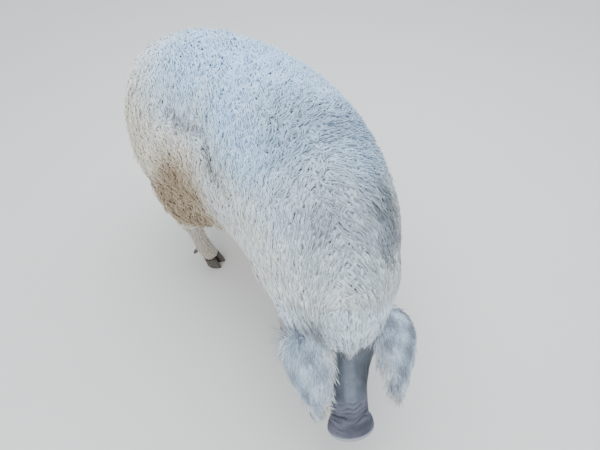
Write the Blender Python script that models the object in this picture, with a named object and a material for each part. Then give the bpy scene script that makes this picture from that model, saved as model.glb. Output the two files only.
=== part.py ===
"""A woolly domestic pig, life-size, standing with its head low and its body bent to its right.

Metres, +Z up, the floor at Z = 0. The pig faces +X, and +Y is its left side.
The flesh is a set of lofted tubes: the trunk with the neck, the skull, the jaw and the four legs.
Curly locks are set on the tubes, all of that is fused, and thin cuts then part it into named pieces.
Legs, ears, eyes, hooves and tail are pieces of their own, each in a socket that clears it.
"""

import math
import random

import bmesh
import bpy
from mathutils import Matrix, Vector

# Driving dimensions
BACK_HEIGHT = 0.780          # top of the flesh over the loins
BARREL_HALF_WIDTH = 0.222    # flesh, at the widest
COAT_DEPTH = 0.046           # from the flesh to the tips of the locks
CORE_DEPTH = 0.019           # the solid part of the coat, under half of its depth
COAT_THINS = 0.94            # distance along the spine from which the coat gets shorter
GAP = 0.0003                 # between pieces that touch
SHORTEST_EDGE = 0.00003      # a shorter edge that a cut leaves is closed up
TAIL_END = (-0.536, -0.145)  # where the spine's line starts, at the back of the rump

# The spine's line from above: distance from the rump, and the way it points, in degrees
TURNS = (
    (0.00, 40.0),
    (0.17, 32.0),
    (0.45, 6.0),
    (0.70, -18.0),
    (0.95, -30.0),
    (1.35, -35.0),
)

# Trunk and neck: distance, centre height, pitch down in degrees, then the half width as a share
# of BARREL_HALF_WIDTH, and the rise and the drop as shares of BACK_HEIGHT
TRUNK = (
    (0.000, 0.565, 0.0, 0.14, 0.060, 0.070),
    (0.020, 0.560, 0.0, 0.46, 0.164, 0.150),
    (0.060, 0.556, 0.0, 0.71, 0.246, 0.225),
    (0.130, 0.554, 0.0, 0.89, 0.298, 0.285),
    (0.220, 0.556, 0.0, 0.98, 0.324, 0.315),
    (0.340, 0.552, 0.0, 1.00, 0.326, 0.332),
    (0.480, 0.544, 0.0, 0.98, 0.314, 0.336),
    (0.610, 0.532, 0.0, 0.92, 0.303, 0.326),
    (0.720, 0.520, 3.0, 0.84, 0.290, 0.305),
    (0.820, 0.508, 12.0, 0.75, 0.266, 0.268),
    (0.910, 0.482, 28.0, 0.65, 0.222, 0.225),
    (0.980, 0.450, 44.0, 0.58, 0.187, 0.195),
    (1.040, 0.405, 56.0, 0.52, 0.150, 0.165),
)
TRUNK_RINGS = (0.0, 0.010, 0.04, 0.10, 0.20, 0.33, 0.47, 0.61, 0.74, 0.85, 0.95, 1.04)
TRUNK_SIDES = 16
TORSO_CUT = 0.43             # between the two lengths of the torso
NECK_CUT = 0.88              # between torso and neck
NECK_CUT_PITCH = 4.0

# Skull and jaw: straight along one axis that starts inside the neck
HEAD_START = 0.995
HEAD_HEIGHT = 0.462
HEAD_PITCH = 57.0
HEAD_CUT = 0.020             # between neck and head
HEAD_CUT_PITCH = 45.0
# Skull: distance, then half width, rise and drop in metres
SKULL = (
    (-0.060, 0.070, 0.050, 0.070),
    (-0.020, 0.108, 0.086, 0.105),
    (0.030, 0.124, 0.104, 0.120),
    (0.070, 0.122, 0.100, 0.120),
    (0.110, 0.106, 0.084, 0.105),
    (0.150, 0.086, 0.063, 0.085),
    (0.200, 0.067, 0.050, 0.063),
    (0.250, 0.057, 0.044, 0.048),
    (0.305, 0.052, 0.041, 0.041),
    (0.357, 0.053, 0.042, 0.041),
    (0.376, 0.062, 0.051, 0.047),
    (0.398, 0.066, 0.055, 0.050),
    (0.408, 0.060, 0.049, 0.044),
)
# Jaw: distance, depth of its centre under the skull's axis, half width, rise and drop in metres
JAW = (
    (0.030, 0.075, 0.092, 0.050, 0.055),
    (0.080, 0.080, 0.086, 0.050, 0.058),
    (0.140, 0.074, 0.066, 0.044, 0.050),
    (0.200, 0.062, 0.047, 0.034, 0.036),
    (0.260, 0.054, 0.041, 0.022, 0.026),
    (0.320, 0.050, 0.035, 0.015, 0.020),
    (0.358, 0.048, 0.026, 0.008, 0.011),
)
HEAD_SIDES = 16
MOUTH = (0.185, 0.386)       # from the corner of the mouth to its front
MOUTH_DEPTH = 0.0405         # of the mouth's line under the skull's axis
MOUTH_OPENING = 0.0028
LIP_RADIUS = 0.0060
NOSTRIL_PLACE = (0.408, 0.0225, 0.002)
NOSTRIL_RADIUS = (0.0086, 0.0108)
NOSTRIL_DEPTH = 0.018
EYE_PLACE = (0.122, 0.0800, 0.0370)
EYE_RADIUS = 0.0135
LID_RADIUS = 0.0052

# Ears, in the head's own directions: forward, out and up. 1 is the left one, which hangs wider
EAR_ROOT = (0.0270, 0.0860, 0.0500)
EAR_BENDS = {1: (0.053, 0.1650, 0.1080), -1: (0.072, 0.1450, 0.1300)}
EAR_TIPS = {1: (0.276, 0.132, 0.066), -1: (0.296, 0.096, 0.064)}
EAR_FACING = (0.05, 0.62, 0.78)
# Share of the ear's length, half width, depth of the cup, thickness in metres
EAR = (
    (0.00, 0.030, 0.020, 0.016),
    (0.15, 0.044, 0.026, 0.015),
    (0.35, 0.066, 0.026, 0.013),
    (0.55, 0.074, 0.022, 0.012),
    (0.75, 0.060, 0.015, 0.011),
    (0.90, 0.036, 0.008, 0.009),
    (1.00, 0.008, 0.002, 0.006),
)

# Legs from the top down: shift forward, shift outward, height, half length and half width
FORE_LEG = (
    (-0.035, -0.040, 0.520, 0.088, 0.050),
    (-0.022, -0.018, 0.430, 0.086, 0.060),
    (-0.012, -0.006, 0.350, 0.068, 0.054),
    (-0.006, 0.000, 0.285, 0.048, 0.043),
    (-0.002, 0.000, 0.225, 0.036, 0.035),
    (0.004, 0.000, 0.188, 0.037, 0.037),
    (0.002, 0.000, 0.155, 0.030, 0.031),
    (0.000, 0.000, 0.118, 0.026, 0.027),
    (0.003, 0.000, 0.084, 0.029, 0.031),
    (0.012, 0.000, 0.060, 0.028, 0.032),
    (0.022, 0.000, 0.044, 0.029, 0.034),
)
HIND_LEG = (
    (0.030, -0.085, 0.600, 0.110, 0.065),
    (0.040, -0.040, 0.500, 0.128, 0.078),
    (0.045, -0.012, 0.420, 0.114, 0.072),
    (0.030, -0.002, 0.350, 0.084, 0.056),
    (-0.006, 0.000, 0.290, 0.056, 0.042),
    (-0.034, 0.000, 0.245, 0.045, 0.035),
    (-0.034, 0.000, 0.205, 0.035, 0.031),
    (-0.022, 0.000, 0.145, 0.027, 0.027),
    (-0.010, 0.000, 0.088, 0.030, 0.031),
    (0.002, 0.000, 0.062, 0.028, 0.032),
    (0.014, 0.000, 0.044, 0.029, 0.034),
)
LEG_SIDES = 14
LEG_CUT = 0.330              # height of the cut between torso and legs
# Distance of each foot along the spine, and its distance to the left of it
FEET = {
    "fore_right": (FORE_LEG, 0.790, -0.116),
    "fore_left": (FORE_LEG, 0.760, 0.140),
    "hind_right": (HIND_LEG, 0.205, -0.165),
    "hind_left": (HIND_LEG, 0.130, 0.155),
}
# Hoof: height, shift forward, half length and half width
HOOF = (
    (0.0437, 0.000, 0.0255, 0.0150),
    (0.0240, 0.007, 0.0290, 0.0160),
    (0.0050, 0.012, 0.0315, 0.0162),
    (0.0000, 0.012, 0.0305, 0.0150),
)
HOOF_SIDES = 10
HOOF_SPREAD = 0.0172         # from the leg's middle line to each hoof's
DEWCLAW_TOP = 0.086
DEWCLAW_LENGTH = 0.034
DEWCLAW_RADIUS = 0.0115
DEWCLAW_SPREAD = 0.017

# Tail: a Bezier curve from inside the rump, in metres behind, to the left and up
TAIL_PATH = ((-0.050, 0.000, 0.690), (0.085, 0.010, 0.690), (0.030, 0.060, 0.500), (0.070, 0.020, 0.430))
TAIL_RADIUS = 0.0165
TAIL_TIP_RADIUS = 0.0085

# Locks of wool: share of the length, share of the half width, height of the middle over the flesh
# as a share of COAT_DEPTH, and half thickness in metres. The root is sunk in the flesh.
LOCK = (
    (0.00, 0.55, -0.20, 0.018),
    (0.34, 1.00, 0.34, 0.027),
    (0.76, 0.84, 0.42, 0.024),
    (1.00, 0.00, 0.40, 0.000),
)
# A lock's section: a flat underside and a rounded back, across and over as shares
LOCK_SECTION = ((1.0, -0.6), (0.72, 0.52), (0.0, 1.0), (-0.72, 0.52), (-1.0, -0.6))
LOCK_LENGTH = 0.165
LOCK_HALF_WIDTH = 0.063
LOCK_ROWS = 0.121            # between rows along the spine
LOCK_SPACING = 0.122         # between the locks of a row
FIRST_ROW = 0.110
LAST_ROW = 0.957
FORELOCK_SIZE = 0.66         # of the locks on the head, beside those on the back
BELLY_ANGLE = -1.12          # the lowest lock on each side, from level, in radians

SKIN = ("skin", (0.24, 0.23, 0.24), 0.60)
WOOL = ("wool", (0.80, 0.79, 0.74), 0.85)
HORN = ("horn", (0.09, 0.085, 0.085), 0.45)
EYE = ("eye", (0.05, 0.03, 0.02), 0.08)

rng = random.Random(12)


def clear_scene():
    for thing in list(bpy.data.objects):
        bpy.data.objects.remove(thing)


def material(finish):
    name, colour, roughness = finish
    made = bpy.data.materials.get(name)
    if made is None:
        made = bpy.data.materials.new(name)
        made.use_nodes = True
        shader = made.node_tree.nodes["Principled BSDF"]
        shader.inputs["Base Color"].default_value = (*colour, 1.0)
        shader.inputs["Roughness"].default_value = roughness
        shader.inputs["Metallic"].default_value = 0.0
    return made


def read_table(rows, at, column):
    """One column of a table at any distance, by a cubic through its rows."""
    if at <= rows[0][0]:
        return rows[0][column]
    if at >= rows[-1][0]:
        return rows[-1][column]
    i = max(k for k in range(len(rows) - 1) if rows[k][0] <= at)
    before, low, high, after = rows[max(i - 1, 0)], rows[i], rows[i + 1], rows[min(i + 2, len(rows) - 1)]
    run = high[0] - low[0]
    t = (at - low[0]) / run
    rise_low = (high[column] - before[column]) / (high[0] - before[0]) * run
    rise_high = (after[column] - low[column]) / (after[0] - low[0]) * run
    return (
        (2 * t**3 - 3 * t**2 + 1) * low[column]
        + (t**3 - 2 * t**2 + t) * rise_low
        + (3 * t**2 - 2 * t**3) * high[column]
        + (t**3 - t**2) * rise_high
    )


SPINE_STEP = 0.005


def walk_spine():
    """Points of the spine's line, one each step."""
    x, y = TAIL_END
    points = [(x, y)]
    for i in range(int(1.4 / SPINE_STEP)):
        turn = math.radians(read_table(TURNS, (i + 0.5) * SPINE_STEP, 1))
        x += SPINE_STEP * math.cos(turn)
        y += SPINE_STEP * math.sin(turn)
        points.append((x, y))
    return points


SPINE = walk_spine()


def spine(s):
    """The spine's point at floor level at a distance, and the way it points, in radians."""
    turn = math.radians(read_table(TURNS, s, 1))
    i = int(max(s, 0.0) / SPINE_STEP)
    rest = s - i * SPINE_STEP
    x, y = SPINE[i]
    return Vector((x + rest * math.cos(turn), y + rest * math.sin(turn), 0.0)), turn


def directions(turn, pitch):
    """Forward, left and up for a heading and a downward pitch, in radians."""
    ahead = Vector((math.cos(turn), math.sin(turn), 0.0))
    left = Vector((-math.sin(turn), math.cos(turn), 0.0))
    forward = ahead * math.cos(pitch) - Vector((0, 0, math.sin(pitch)))
    up = ahead * math.sin(pitch) + Vector((0, 0, math.cos(pitch)))
    return forward, left, up


class Tube:
    """Egg-shaped rings on a line. frame(s) gives centre, forward, left, up, half width, rise, drop."""

    def __init__(self, frame, first, last, side=0):
        self.frame = frame
        self.first = first
        self.last = last
        self.side = side

    def point(self, s, angle, out=0.0):
        """The surface point at a distance and an angle, which runs from the left side up."""
        centre, _, left, up, wide, rise, drop = self.frame(s)
        c, d = math.cos(angle), math.sin(angle)
        tall = rise if d > 0 else drop
        return centre + left * c * (wide + out) + up * d * (tall + out)

    def outward(self, s, angle):
        step = 0.01
        along = self.point(s + step, angle) - self.point(s - step, angle)
        around = self.point(s, angle + step) - self.point(s, angle - step)
        return around.cross(along).normalized()

    def walk(self, s, angle, forward, down, out):
        """The point over the surface that is forward and down from (s, angle), in metres."""
        _, _, _, _, wide, rise, drop = self.frame(s)
        girth = 0.5 * (wide + (rise if math.sin(angle) > 0 else drop))
        side = -1.0 if math.cos(angle) > 0 else 1.0
        there, turned = max(s + forward, self.first + 0.2 * forward), angle + side * down / girth
        return self.point(there, turned) + self.outward(there, turned) * out

    def holds(self, place, spare):
        """Whether a place is inside the tube by more than spare, found at its nearest ring."""
        for i in range(41):
            s = self.first + (self.last - self.first) * i / 40
            centre, forward, left, up, wide, rise, drop = self.frame(s)
            arm = place - centre
            if abs(arm.dot(forward)) > (self.last - self.first) / 60:
                continue
            tall = rise if arm.dot(up) > 0 else drop
            across = arm.dot(left) / max(wide - spare, 0.001)
            along = arm.dot(up) / max(tall - spare, 0.001)
            return across**2 + along**2 < 1.0
        return False


def trunk_frame(s):
    centre, turn = spine(s)
    centre.z = read_table(TRUNK, s, 1)
    forward, left, up = directions(turn, math.radians(read_table(TRUNK, s, 2)))
    wide = read_table(TRUNK, s, 3) * BARREL_HALF_WIDTH
    rise, drop = (read_table(TRUNK, s, k) * BACK_HEIGHT for k in (4, 5))
    return centre, forward, left, up, wide, rise, drop


def head_directions():
    start, turn = spine(HEAD_START)
    start.z = HEAD_HEIGHT
    return (start, *directions(turn, math.radians(HEAD_PITCH)))


def head_place(forward, out, up, side=1):
    """A point given in the head's own directions. side is 1 for its left and -1 for its right."""
    start, ahead, left, over = head_directions()
    return start + ahead * forward + left * side * out + over * up


def head_aim(forward, out, up, side=1):
    """A direction given in the head's own directions."""
    _, ahead, left, over = head_directions()
    return (ahead * forward + left * side * out + over * up).normalized()


def skull_frame(s):
    start, ahead, left, over = head_directions()
    wide, rise, drop = (read_table(SKULL, s, k) for k in (1, 2, 3))
    return start + ahead * s, ahead, left, over, wide, rise, drop


def jaw_frame(s):
    start, ahead, left, over = head_directions()
    deep, wide, rise, drop = (read_table(JAW, s, k) for k in (1, 2, 3, 4))
    return start + ahead * s - over * deep, ahead, left, over, wide, rise, drop


def leg_tube(name):
    """A leg's tube. Its rings lie flat, and its distance is the depth under its top."""
    table, stand, out = FEET[name]
    origin, turn = spine(stand)
    ahead, left, _ = directions(turn, 0.0)
    side = math.copysign(1.0, out)
    top = table[0][2]
    rows = [(top - row[2], *row) for row in table]

    def frame(s):
        forward, outward, height, long_, wide = (read_table(rows, s, k) for k in range(1, 6))
        centre = origin + ahead * forward + left * (out + side * outward)
        centre.z = height
        return centre, Vector((0, 0, -1)), left, ahead, wide, long_, long_

    return Tube(frame, 0.0, rows[-1][0], side)


def add_object(name, bm, finish):
    made = bpy.data.meshes.new(name)
    bm.to_mesh(made)
    bm.free()
    made.materials.append(material(finish))
    thing = bpy.data.objects.new(name, made)
    bpy.context.scene.collection.objects.link(thing)
    return thing


def closed_loft(name, rings, finish, tip=None):
    """A closed mesh through rings of equal count, with a fan at each end or a tip after the last."""
    bm = bmesh.new()
    rows = [[bm.verts.new(place) for place in ring] for ring in rings]
    size = len(rings[0])
    for before, after in zip(rows, rows[1:]):
        for i in range(size):
            j = (i + 1) % size
            bm.faces.new((before[i], before[j], after[j]))
            bm.faces.new((before[i], after[j], after[i]))
    for row, flip in ((rows[0], True), (rows[-1], False)):
        if tip is not None and not flip:
            end = bm.verts.new(tip)
            for i in range(size):
                bm.faces.new((row[i], row[(i + 1) % size], end))
            continue
        bm.faces.new(row[::-1] if flip else row)
    bmesh.ops.triangulate(bm, faces=[f for f in bm.faces if len(f.verts) > 3])
    if bm.calc_volume(signed=True) < 0:
        bmesh.ops.reverse_faces(bm, faces=bm.faces)
    return add_object(name, bm, finish)


def tube_piece(name, tube, distances, sides, out, finish):
    """A tube's mesh through its distances, grown outwards by out, a number or a function of distance."""
    grow = out if callable(out) else lambda s: out
    rings = [[tube.point(s, math.tau * i / sides, grow(s)) for i in range(sides)] for s in distances]
    return closed_loft(name, rings, finish)


def coat_at(s):
    """The share of the coat's depth along the trunk: it thins out over the poll."""
    return 1.0 - 0.95 * min(max((s - COAT_THINS) / (TRUNK[-1][0] - COAT_THINS), 0.0), 1.0)


def round_path(name, places, radii, sides, finish, flatness=1.0):
    """A round or flattened tube along a list of places."""
    rings = []
    over = Vector((0.31, 0.17, 0.93))
    for i, place in enumerate(places):
        along = (places[min(i + 1, len(places) - 1)] - places[max(i - 1, 0)]).normalized()
        across = along.cross(over).normalized()
        over = across.cross(along)
        ring = []
        for k in range(sides):
            turn = math.tau * k / sides
            side_step = across * math.cos(turn) + over * math.sin(turn) * flatness
            ring.append(place + side_step * radii[i])
        rings.append(ring)
    return closed_loft(name, rings, finish)


def grown(thing, by=GAP):
    """A copy of a piece, a little larger all round, that cuts its socket."""
    bm = bmesh.new()
    bm.from_mesh(thing.data)
    bm.normal_update()
    moves = [vert.normal * by * 1.4 for vert in bm.verts]
    for vert, move in zip(bm.verts, moves):
        vert.co += move
    return add_object(thing.name + "_socket", bm, WOOL)


def combine(base, others, operation):
    """One Boolean of a piece with a collection of closed meshes, applied. The meshes are removed."""
    group = bpy.data.collections.new("operands")
    bpy.context.scene.collection.children.link(group)
    for other in others:
        group.objects.link(other)
    cut = base.modifiers.new("cut", "BOOLEAN")
    cut.operation = operation
    cut.solver = "MANIFOLD"
    cut.operand_type = "COLLECTION"
    cut.collection = group
    apply_modifiers(base)
    for other in others:
        bpy.data.objects.remove(other)
    bpy.data.collections.remove(group)
    keep_largest(base)


def apply_modifiers(thing):
    graph = bpy.context.evaluated_depsgraph_get()
    made = bpy.data.meshes.new_from_object(thing.evaluated_get(graph))
    thing.modifiers.clear()
    thing.data = made


def close_short_edges(bm):
    """Draws the ends of each very short edge together, where the surface stays closed."""
    for edge in [edge for edge in bm.edges if edge.calc_length() < SHORTEST_EDGE]:
        if edge.is_valid:
            here, there = edge.verts
            beside_here, beside_there = ({e.other_vert(end) for e in end.link_edges} for end in edge.verts)
            if len(beside_here & beside_there) == 2:
                bmesh.ops.pointmerge(bm, verts=[here, there], merge_co=here.co.lerp(there.co, 0.5))


def keep_largest(thing):
    """Leaves only the closed surface that holds the most space, in clean triangles."""
    bm = bmesh.new()
    bm.from_mesh(thing.data)
    bmesh.ops.triangulate(bm, faces=bm.faces, ngon_method="EAR_CLIP")
    close_short_edges(bm)
    left = set(bm.faces)
    surfaces = []
    while left:
        todo = [left.pop()]
        surface = []
        while todo:
            face = todo.pop()
            surface.append(face)
            for edge in face.edges:
                for other in edge.link_faces:
                    if other in left:
                        left.remove(other)
                        todo.append(other)
        surfaces.append(surface)
    sizes = [
        sum(f.verts[0].co.dot(f.verts[1].co.cross(f.verts[2].co)) for f in surface) for surface in surfaces
    ]
    best = surfaces[sizes.index(max(sizes))]
    loose = [f for surface in surfaces if surface is not best for f in surface]
    bmesh.ops.delete(bm, geom=loose, context="FACES")
    bm.to_mesh(thing.data)
    bm.free()


def cut_box(name, centre, forward, left, up, reach, half_width, above, below):
    """A box that starts on the plane through centre across forward, and runs ahead by reach."""
    rings = []
    for step in (0.0, reach):
        corners = ((1, above), (-1, above), (-1, -below), (1, -below))
        rings.append([centre + forward * step + left * half_width * a + up * b for a, b in corners])
    return closed_loft(name, rings, WOOL)


def part_off(whole, name, plane, finish, **sizes):
    """Takes all that a box ahead of a plane holds off the whole, as a piece of its own."""
    centre, forward, left, up = plane
    piece = whole.copy()
    piece.data = whole.data.copy()
    piece.name = name
    bpy.context.scene.collection.objects.link(piece)
    combine(piece, [cut_box("taken", centre, forward, left, up, **sizes)], "INTERSECT")
    clear = {key: value + GAP for key, value in sizes.items()}
    clear["reach"] = sizes["reach"] + 2 * GAP
    cutter = cut_box("cleared", centre - forward * GAP, forward, left, up, **clear)
    combine(whole, [cutter], "DIFFERENCE")
    piece.data.materials.clear()
    piece.data.materials.append(material(finish))
    return piece


def part_trunk(whole):
    """Parts head, neck and the two lengths of the torso, from front to back."""
    centre = head_place(HEAD_CUT, 0.0, 0.0)
    head_plane = (centre, *directions(spine(HEAD_START)[1], math.radians(HEAD_CUT_PITCH)))
    part_off(whole, "head", head_plane, SKIN, reach=0.5, half_width=0.2, above=0.24, below=0.17)
    turn = spine(NECK_CUT)[1]
    neck_plane = (trunk_frame(NECK_CUT)[0], *directions(turn, math.radians(NECK_CUT_PITCH)))
    part_off(whole, "neck", neck_plane, WOOL, reach=0.5, half_width=0.4, above=0.5, below=0.5)
    torso_plane = trunk_frame(TORSO_CUT)[:4]
    part_off(whole, "torso_fore", torso_plane, WOOL, reach=0.8, half_width=0.6, above=0.6, below=0.6)
    whole.name = "torso_rear"


def lock_mesh(middles, acrosses, overs, widths, thicks):
    """A closed body with the section of a lock along its middles, to a tip at the last."""
    rings = []
    for middle, across, over, wide, thick in zip(middles[:-1], acrosses, overs, widths, thicks):
        rings.append([middle + across * a * wide + over * b * thick for a, b in LOCK_SECTION])
    return closed_loft("lock", rings, WOOL, tip=middles[-1])


def lock(tube, s, angle, ahead, down, length, half_width, height=1.0):
    """One curly lock on a tube: it leaves the flesh, swells, bends to a side and back, and ends in a tip."""
    sway = rng.uniform(0.2, 0.45) * rng.choice((-1, 1)) * half_width
    reach = length / math.hypot(ahead, down)
    middles = []
    for t, _, out, _ in LOCK:
        swing = sway * math.sin(2.0 * math.pi * t) / length
        forward = (ahead * t - down * swing) * reach
        below = (down * t + ahead * swing) * reach
        middles.append(tube.walk(s, angle, forward, below, out * COAT_DEPTH * height))
    acrosses, overs = [], []
    for i in range(len(LOCK) - 1):
        t = LOCK[i][0]
        along = middles[i + 1] - middles[max(i - 1, 0)]
        foot = tube.walk(s, angle, ahead * t * reach, down * t * reach, -0.05)
        across = along.cross(middles[i] - foot).normalized()
        acrosses.append(across)
        overs.append(across.cross(along).normalized())
    widths = [row[1] * half_width for row in LOCK]
    thicks = [row[3] * height for row in LOCK]
    return lock_mesh(middles, acrosses, overs, widths, thicks)


def trunk_locks(trunk, legs):
    """Locks in staggered rows round the trunk and neck, lying back and down."""
    made = []
    last = round((LAST_ROW - FIRST_ROW) / LOCK_ROWS)
    for row in range(last + 1):
        s = FIRST_ROW + (LAST_ROW - FIRST_ROW) * row / last
        _, _, _, _, wide, rise, drop = trunk.frame(s)
        girth = 0.5 * wide + 0.25 * (rise + drop) + CORE_DEPTH
        count = max(2, round((math.pi / 2 - BELLY_ANGLE) * girth / LOCK_SPACING))
        for side in (-1, 1):
            for i in range(count + 1):
                share = (i + 0.5 * (row % 2)) / count
                if share > 1.0 or (share == 0 and side > 0):
                    continue
                level = math.pi / 2 - share * (math.pi / 2 - BELLY_ANGLE) + rng.uniform(-0.05, 0.05)
                angle = level if side > 0 else math.pi - level
                at = s + rng.uniform(-0.010, 0.010)
                if any(leg.holds(trunk.point(at, angle, CORE_DEPTH), 0.0) for leg in legs):
                    continue
                steep = 1.0 - max(math.sin(level), 0.0) ** 3
                ahead = -0.62 + rng.uniform(-0.12, 0.12)
                down = 0.10 + 0.75 * steep + rng.uniform(-0.10, 0.10)
                length = LOCK_LENGTH * rng.uniform(0.88, 1.10)
                half_width = LOCK_HALF_WIDTH * rng.uniform(0.92, 1.10)
                made.append(lock(trunk, at, angle, ahead, down, length, half_width, coat_at(at) ** 0.5))
    return made


def head_locks(skull):
    """The forelock, which lies forward over the brow, and a lock back over each cheek."""
    made = []
    for s, swings in ((-0.005, (-1.0, -0.34, 0.34, 1.0)), (0.035, (-0.62, 0.0, 0.62))):
        for swing in swings:
            angle = math.pi / 2 - swing
            length = LOCK_LENGTH * FORELOCK_SIZE * rng.uniform(0.9, 1.1)
            half_width = LOCK_HALF_WIDTH * FORELOCK_SIZE
            made.append(lock(skull, s, angle, 0.95, 0.12, length, half_width, FORELOCK_SIZE))
    for angle in (0.05, math.pi - 0.05):
        made.append(lock(skull, 0.055, angle, -0.70, 0.65, LOCK_LENGTH * 0.8, LOCK_HALF_WIDTH * 0.7, 0.7))
    return made


def tuft_lock(start, heading, over, length, half_width, thick, bend):
    """A small straight-rooted lock on an ear or a tail, bent towards one side."""
    heading = heading.normalized()
    across = heading.cross(over).normalized()
    over = across.cross(heading)
    middles = [start + heading * length * t + bend * length * t * t for t in (0.0, 0.55, 1.0)]
    return lock_mesh(middles, [across] * 2, [over] * 2, (half_width, half_width), (thick, thick * 0.8))


def ear_fringe(side):
    """Locks of hair that stand past the ear's rims and its tip."""
    made = []
    for t, edge in ((0.46, -1), (0.70, -1), (0.46, 1), (0.72, 1), (0.94, 0)):
        middle, across, facing = ear_section(t, side)
        along = ear_section(t + 0.02, side)[0] - ear_section(t - 0.02, side)[0]
        wide, cup = read_table(EAR, t, 1), read_table(EAR, t, 2)
        start = middle + across * wide * edge * 0.55 - facing * cup * 0.30
        heading = along.normalized() * 0.9 + across * edge * 0.62 - facing * 0.25 * abs(edge)
        made.append(tuft_lock(start, heading, facing, 0.060, 0.022, 0.0055, along.normalized() * 0.25))
    return made


def tail_tuft(places):
    """Locks round the end of the tail."""
    made = []
    end = places[-2]
    heading = (places[-1] - places[-3]).normalized()
    arm = heading.orthogonal().normalized()
    for i in range(3):
        spread = Matrix.Rotation(math.tau * i / 3 + 0.4, 3, heading) @ arm
        start = end + spread * 0.0035 + heading * 0.004 * i
        bend = spread * 0.25
        made.append(tuft_lock(start, heading + spread * 0.30, spread, 0.105, 0.014, 0.008, -bend))
    return made


def leg_locks(leg, trunk, table):
    """Locks down the outer side of a ham or a shoulder, down to the cut."""
    made = []
    top = leg_top(table)
    height = top - 0.07
    row = 0
    while height > LEG_CUT + 0.02:
        for i in range(-2, 3):
            swing = (i + 0.5 * (row % 2)) * LOCK_SPACING * 0.9 / 0.10
            angle = swing if leg.side > 0 else math.pi - swing
            place = leg.point(top - height, angle, CORE_DEPTH * 0.5)
            if abs(swing) < 1.7 and not trunk.holds(place, -CORE_DEPTH):
                length = LOCK_LENGTH * 0.8 * rng.uniform(0.9, 1.1)
                made.append(lock(leg, top - height, angle, 0.95, 0.2, length, LOCK_HALF_WIDTH * 0.8, 0.85))
        height -= LOCK_ROWS * 0.8
        row += 1
    return made


def mouth_paths(side, rise, out):
    """Places along the line of the mouth on one side, raised and moved outwards by small steps."""
    places = []
    for i in range(7):
        s = MOUTH[0] + (MOUTH[1] - MOUTH[0]) * i / 6
        up = -MOUTH_DEPTH - 0.010 * (1 - i / 6) ** 2 + rise
        wide, drop = read_table(SKULL, s, 1), read_table(SKULL, s, 3)
        share = min(abs(up) / drop, 0.97)
        across = wide * math.sqrt(1 - share**2) + out
        places.append(head_place(s, across, up, side))
    return places


def lips(side):
    made = []
    for rise in (LIP_RADIUS * 0.8, -LIP_RADIUS * 0.9):
        radii = [LIP_RADIUS * share for share in (0.35, 0.8, 1.0, 1.0, 1.0, 0.85, 0.3)]
        made.append(round_path("lip", mouth_paths(side, rise, -LIP_RADIUS * 0.45), radii, 5, SKIN))
    return made


def mouth_cutter(side):
    places = mouth_paths(side, 0.0, 0.0)
    return round_path("mouth", places, [MOUTH_OPENING] * len(places), 4, SKIN)


def nostril_cutter(side):
    forward, out, up = NOSTRIL_PLACE
    rings = []
    for step, share in ((0.006, 1.15), (-0.001, 1.0), (-NOSTRIL_DEPTH, 0.6)):
        ring = []
        for i in range(10):
            turn = math.tau * i / 10
            across = out + NOSTRIL_RADIUS[0] * share * math.cos(turn) + step * 0.15
            rise = up + NOSTRIL_RADIUS[1] * share * math.sin(turn)
            ring.append(head_place(forward + step, across, rise, side))
        rings.append(ring)
    return closed_loft("nostril", rings, SKIN)


def eye(name, side):
    bm = bmesh.new()
    bmesh.ops.create_icosphere(bm, subdivisions=2, radius=EYE_RADIUS)
    bmesh.ops.translate(bm, verts=bm.verts, vec=head_place(*EYE_PLACE, side))
    return add_object(name, bm, EYE)


def lids(side):
    """A raised almond-shaped rim round the eye."""
    centre = head_place(*EYE_PLACE, side)
    look = head_aim(0.25, 0.80, 0.55, side)
    along = head_aim(1.0, 0.0, -0.1, side)
    along = (along - look * along.dot(look)).normalized()
    over = along.cross(look) * side
    rings, sides = 10, 5
    bm = bmesh.new()
    rows = []
    for i in range(rings):
        turn = math.tau * i / rings
        arm = along * math.cos(turn) * 1.25 + over * math.sin(turn) * 0.88
        middle = centre + arm * 0.0118 + look * (0.0085 - 0.004 * math.cos(turn) ** 2)
        arm.normalize()
        row = []
        for k in range(sides):
            roll = math.tau * k / sides
            row.append(bm.verts.new(middle + (arm * math.cos(roll) + look * math.sin(roll)) * LID_RADIUS))
        rows.append(row)
    for i in range(rings):
        for k in range(sides):
            here, there = rows[i], rows[(i + 1) % rings]
            j = (k + 1) % sides
            bm.faces.new((here[k], here[j], there[j]))
            bm.faces.new((here[k], there[j], there[k]))
    if bm.calc_volume(signed=True) < 0:
        bmesh.ops.reverse_faces(bm, faces=bm.faces)
    return add_object("lids", bm, SKIN)


def ear_line(t, side):
    """The middle of an ear, as forward, out and up, along a curve from root to tip."""
    return tuple(
        (1 - t) ** 2 * root + 2 * t * (1 - t) * bend + t**2 * tip
        for root, bend, tip in zip(EAR_ROOT, EAR_BENDS[side], EAR_TIPS[side])
    )


def ear_section(t, side):
    """Middle, across and facing directions of the ear at a share of its length."""
    middle = head_place(*ear_line(t, side), side)
    along = head_place(*ear_line(t + 0.01, side), side) - head_place(*ear_line(t - 0.01, side), side)
    facing = head_aim(*EAR_FACING, side)
    across = along.cross(facing).normalized()
    facing = across.cross(along).normalized()
    return middle, across, facing


def ear(name, side):
    """A cupped leaf, hollow towards the face, thicker in its middle than at its rims."""
    rings = []
    steps = 5
    for t, wide, cup, thick in EAR:
        middle, across, facing = ear_section(t, side)
        outer, inner = [], []
        for k in range(steps):
            u = -1 + 2 * k / (steps - 1)
            arm = middle + across * wide * u - facing * cup * u**2
            half = 0.5 * thick * (1 - 0.75 * u**4)
            outer.append(arm + facing * half)
            inner.append(arm - facing * half)
        rings.append(outer + inner[::-1])
    made = closed_loft(name, rings, SKIN)
    combine(made, ear_fringe(side), "UNION")
    return made


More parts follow.
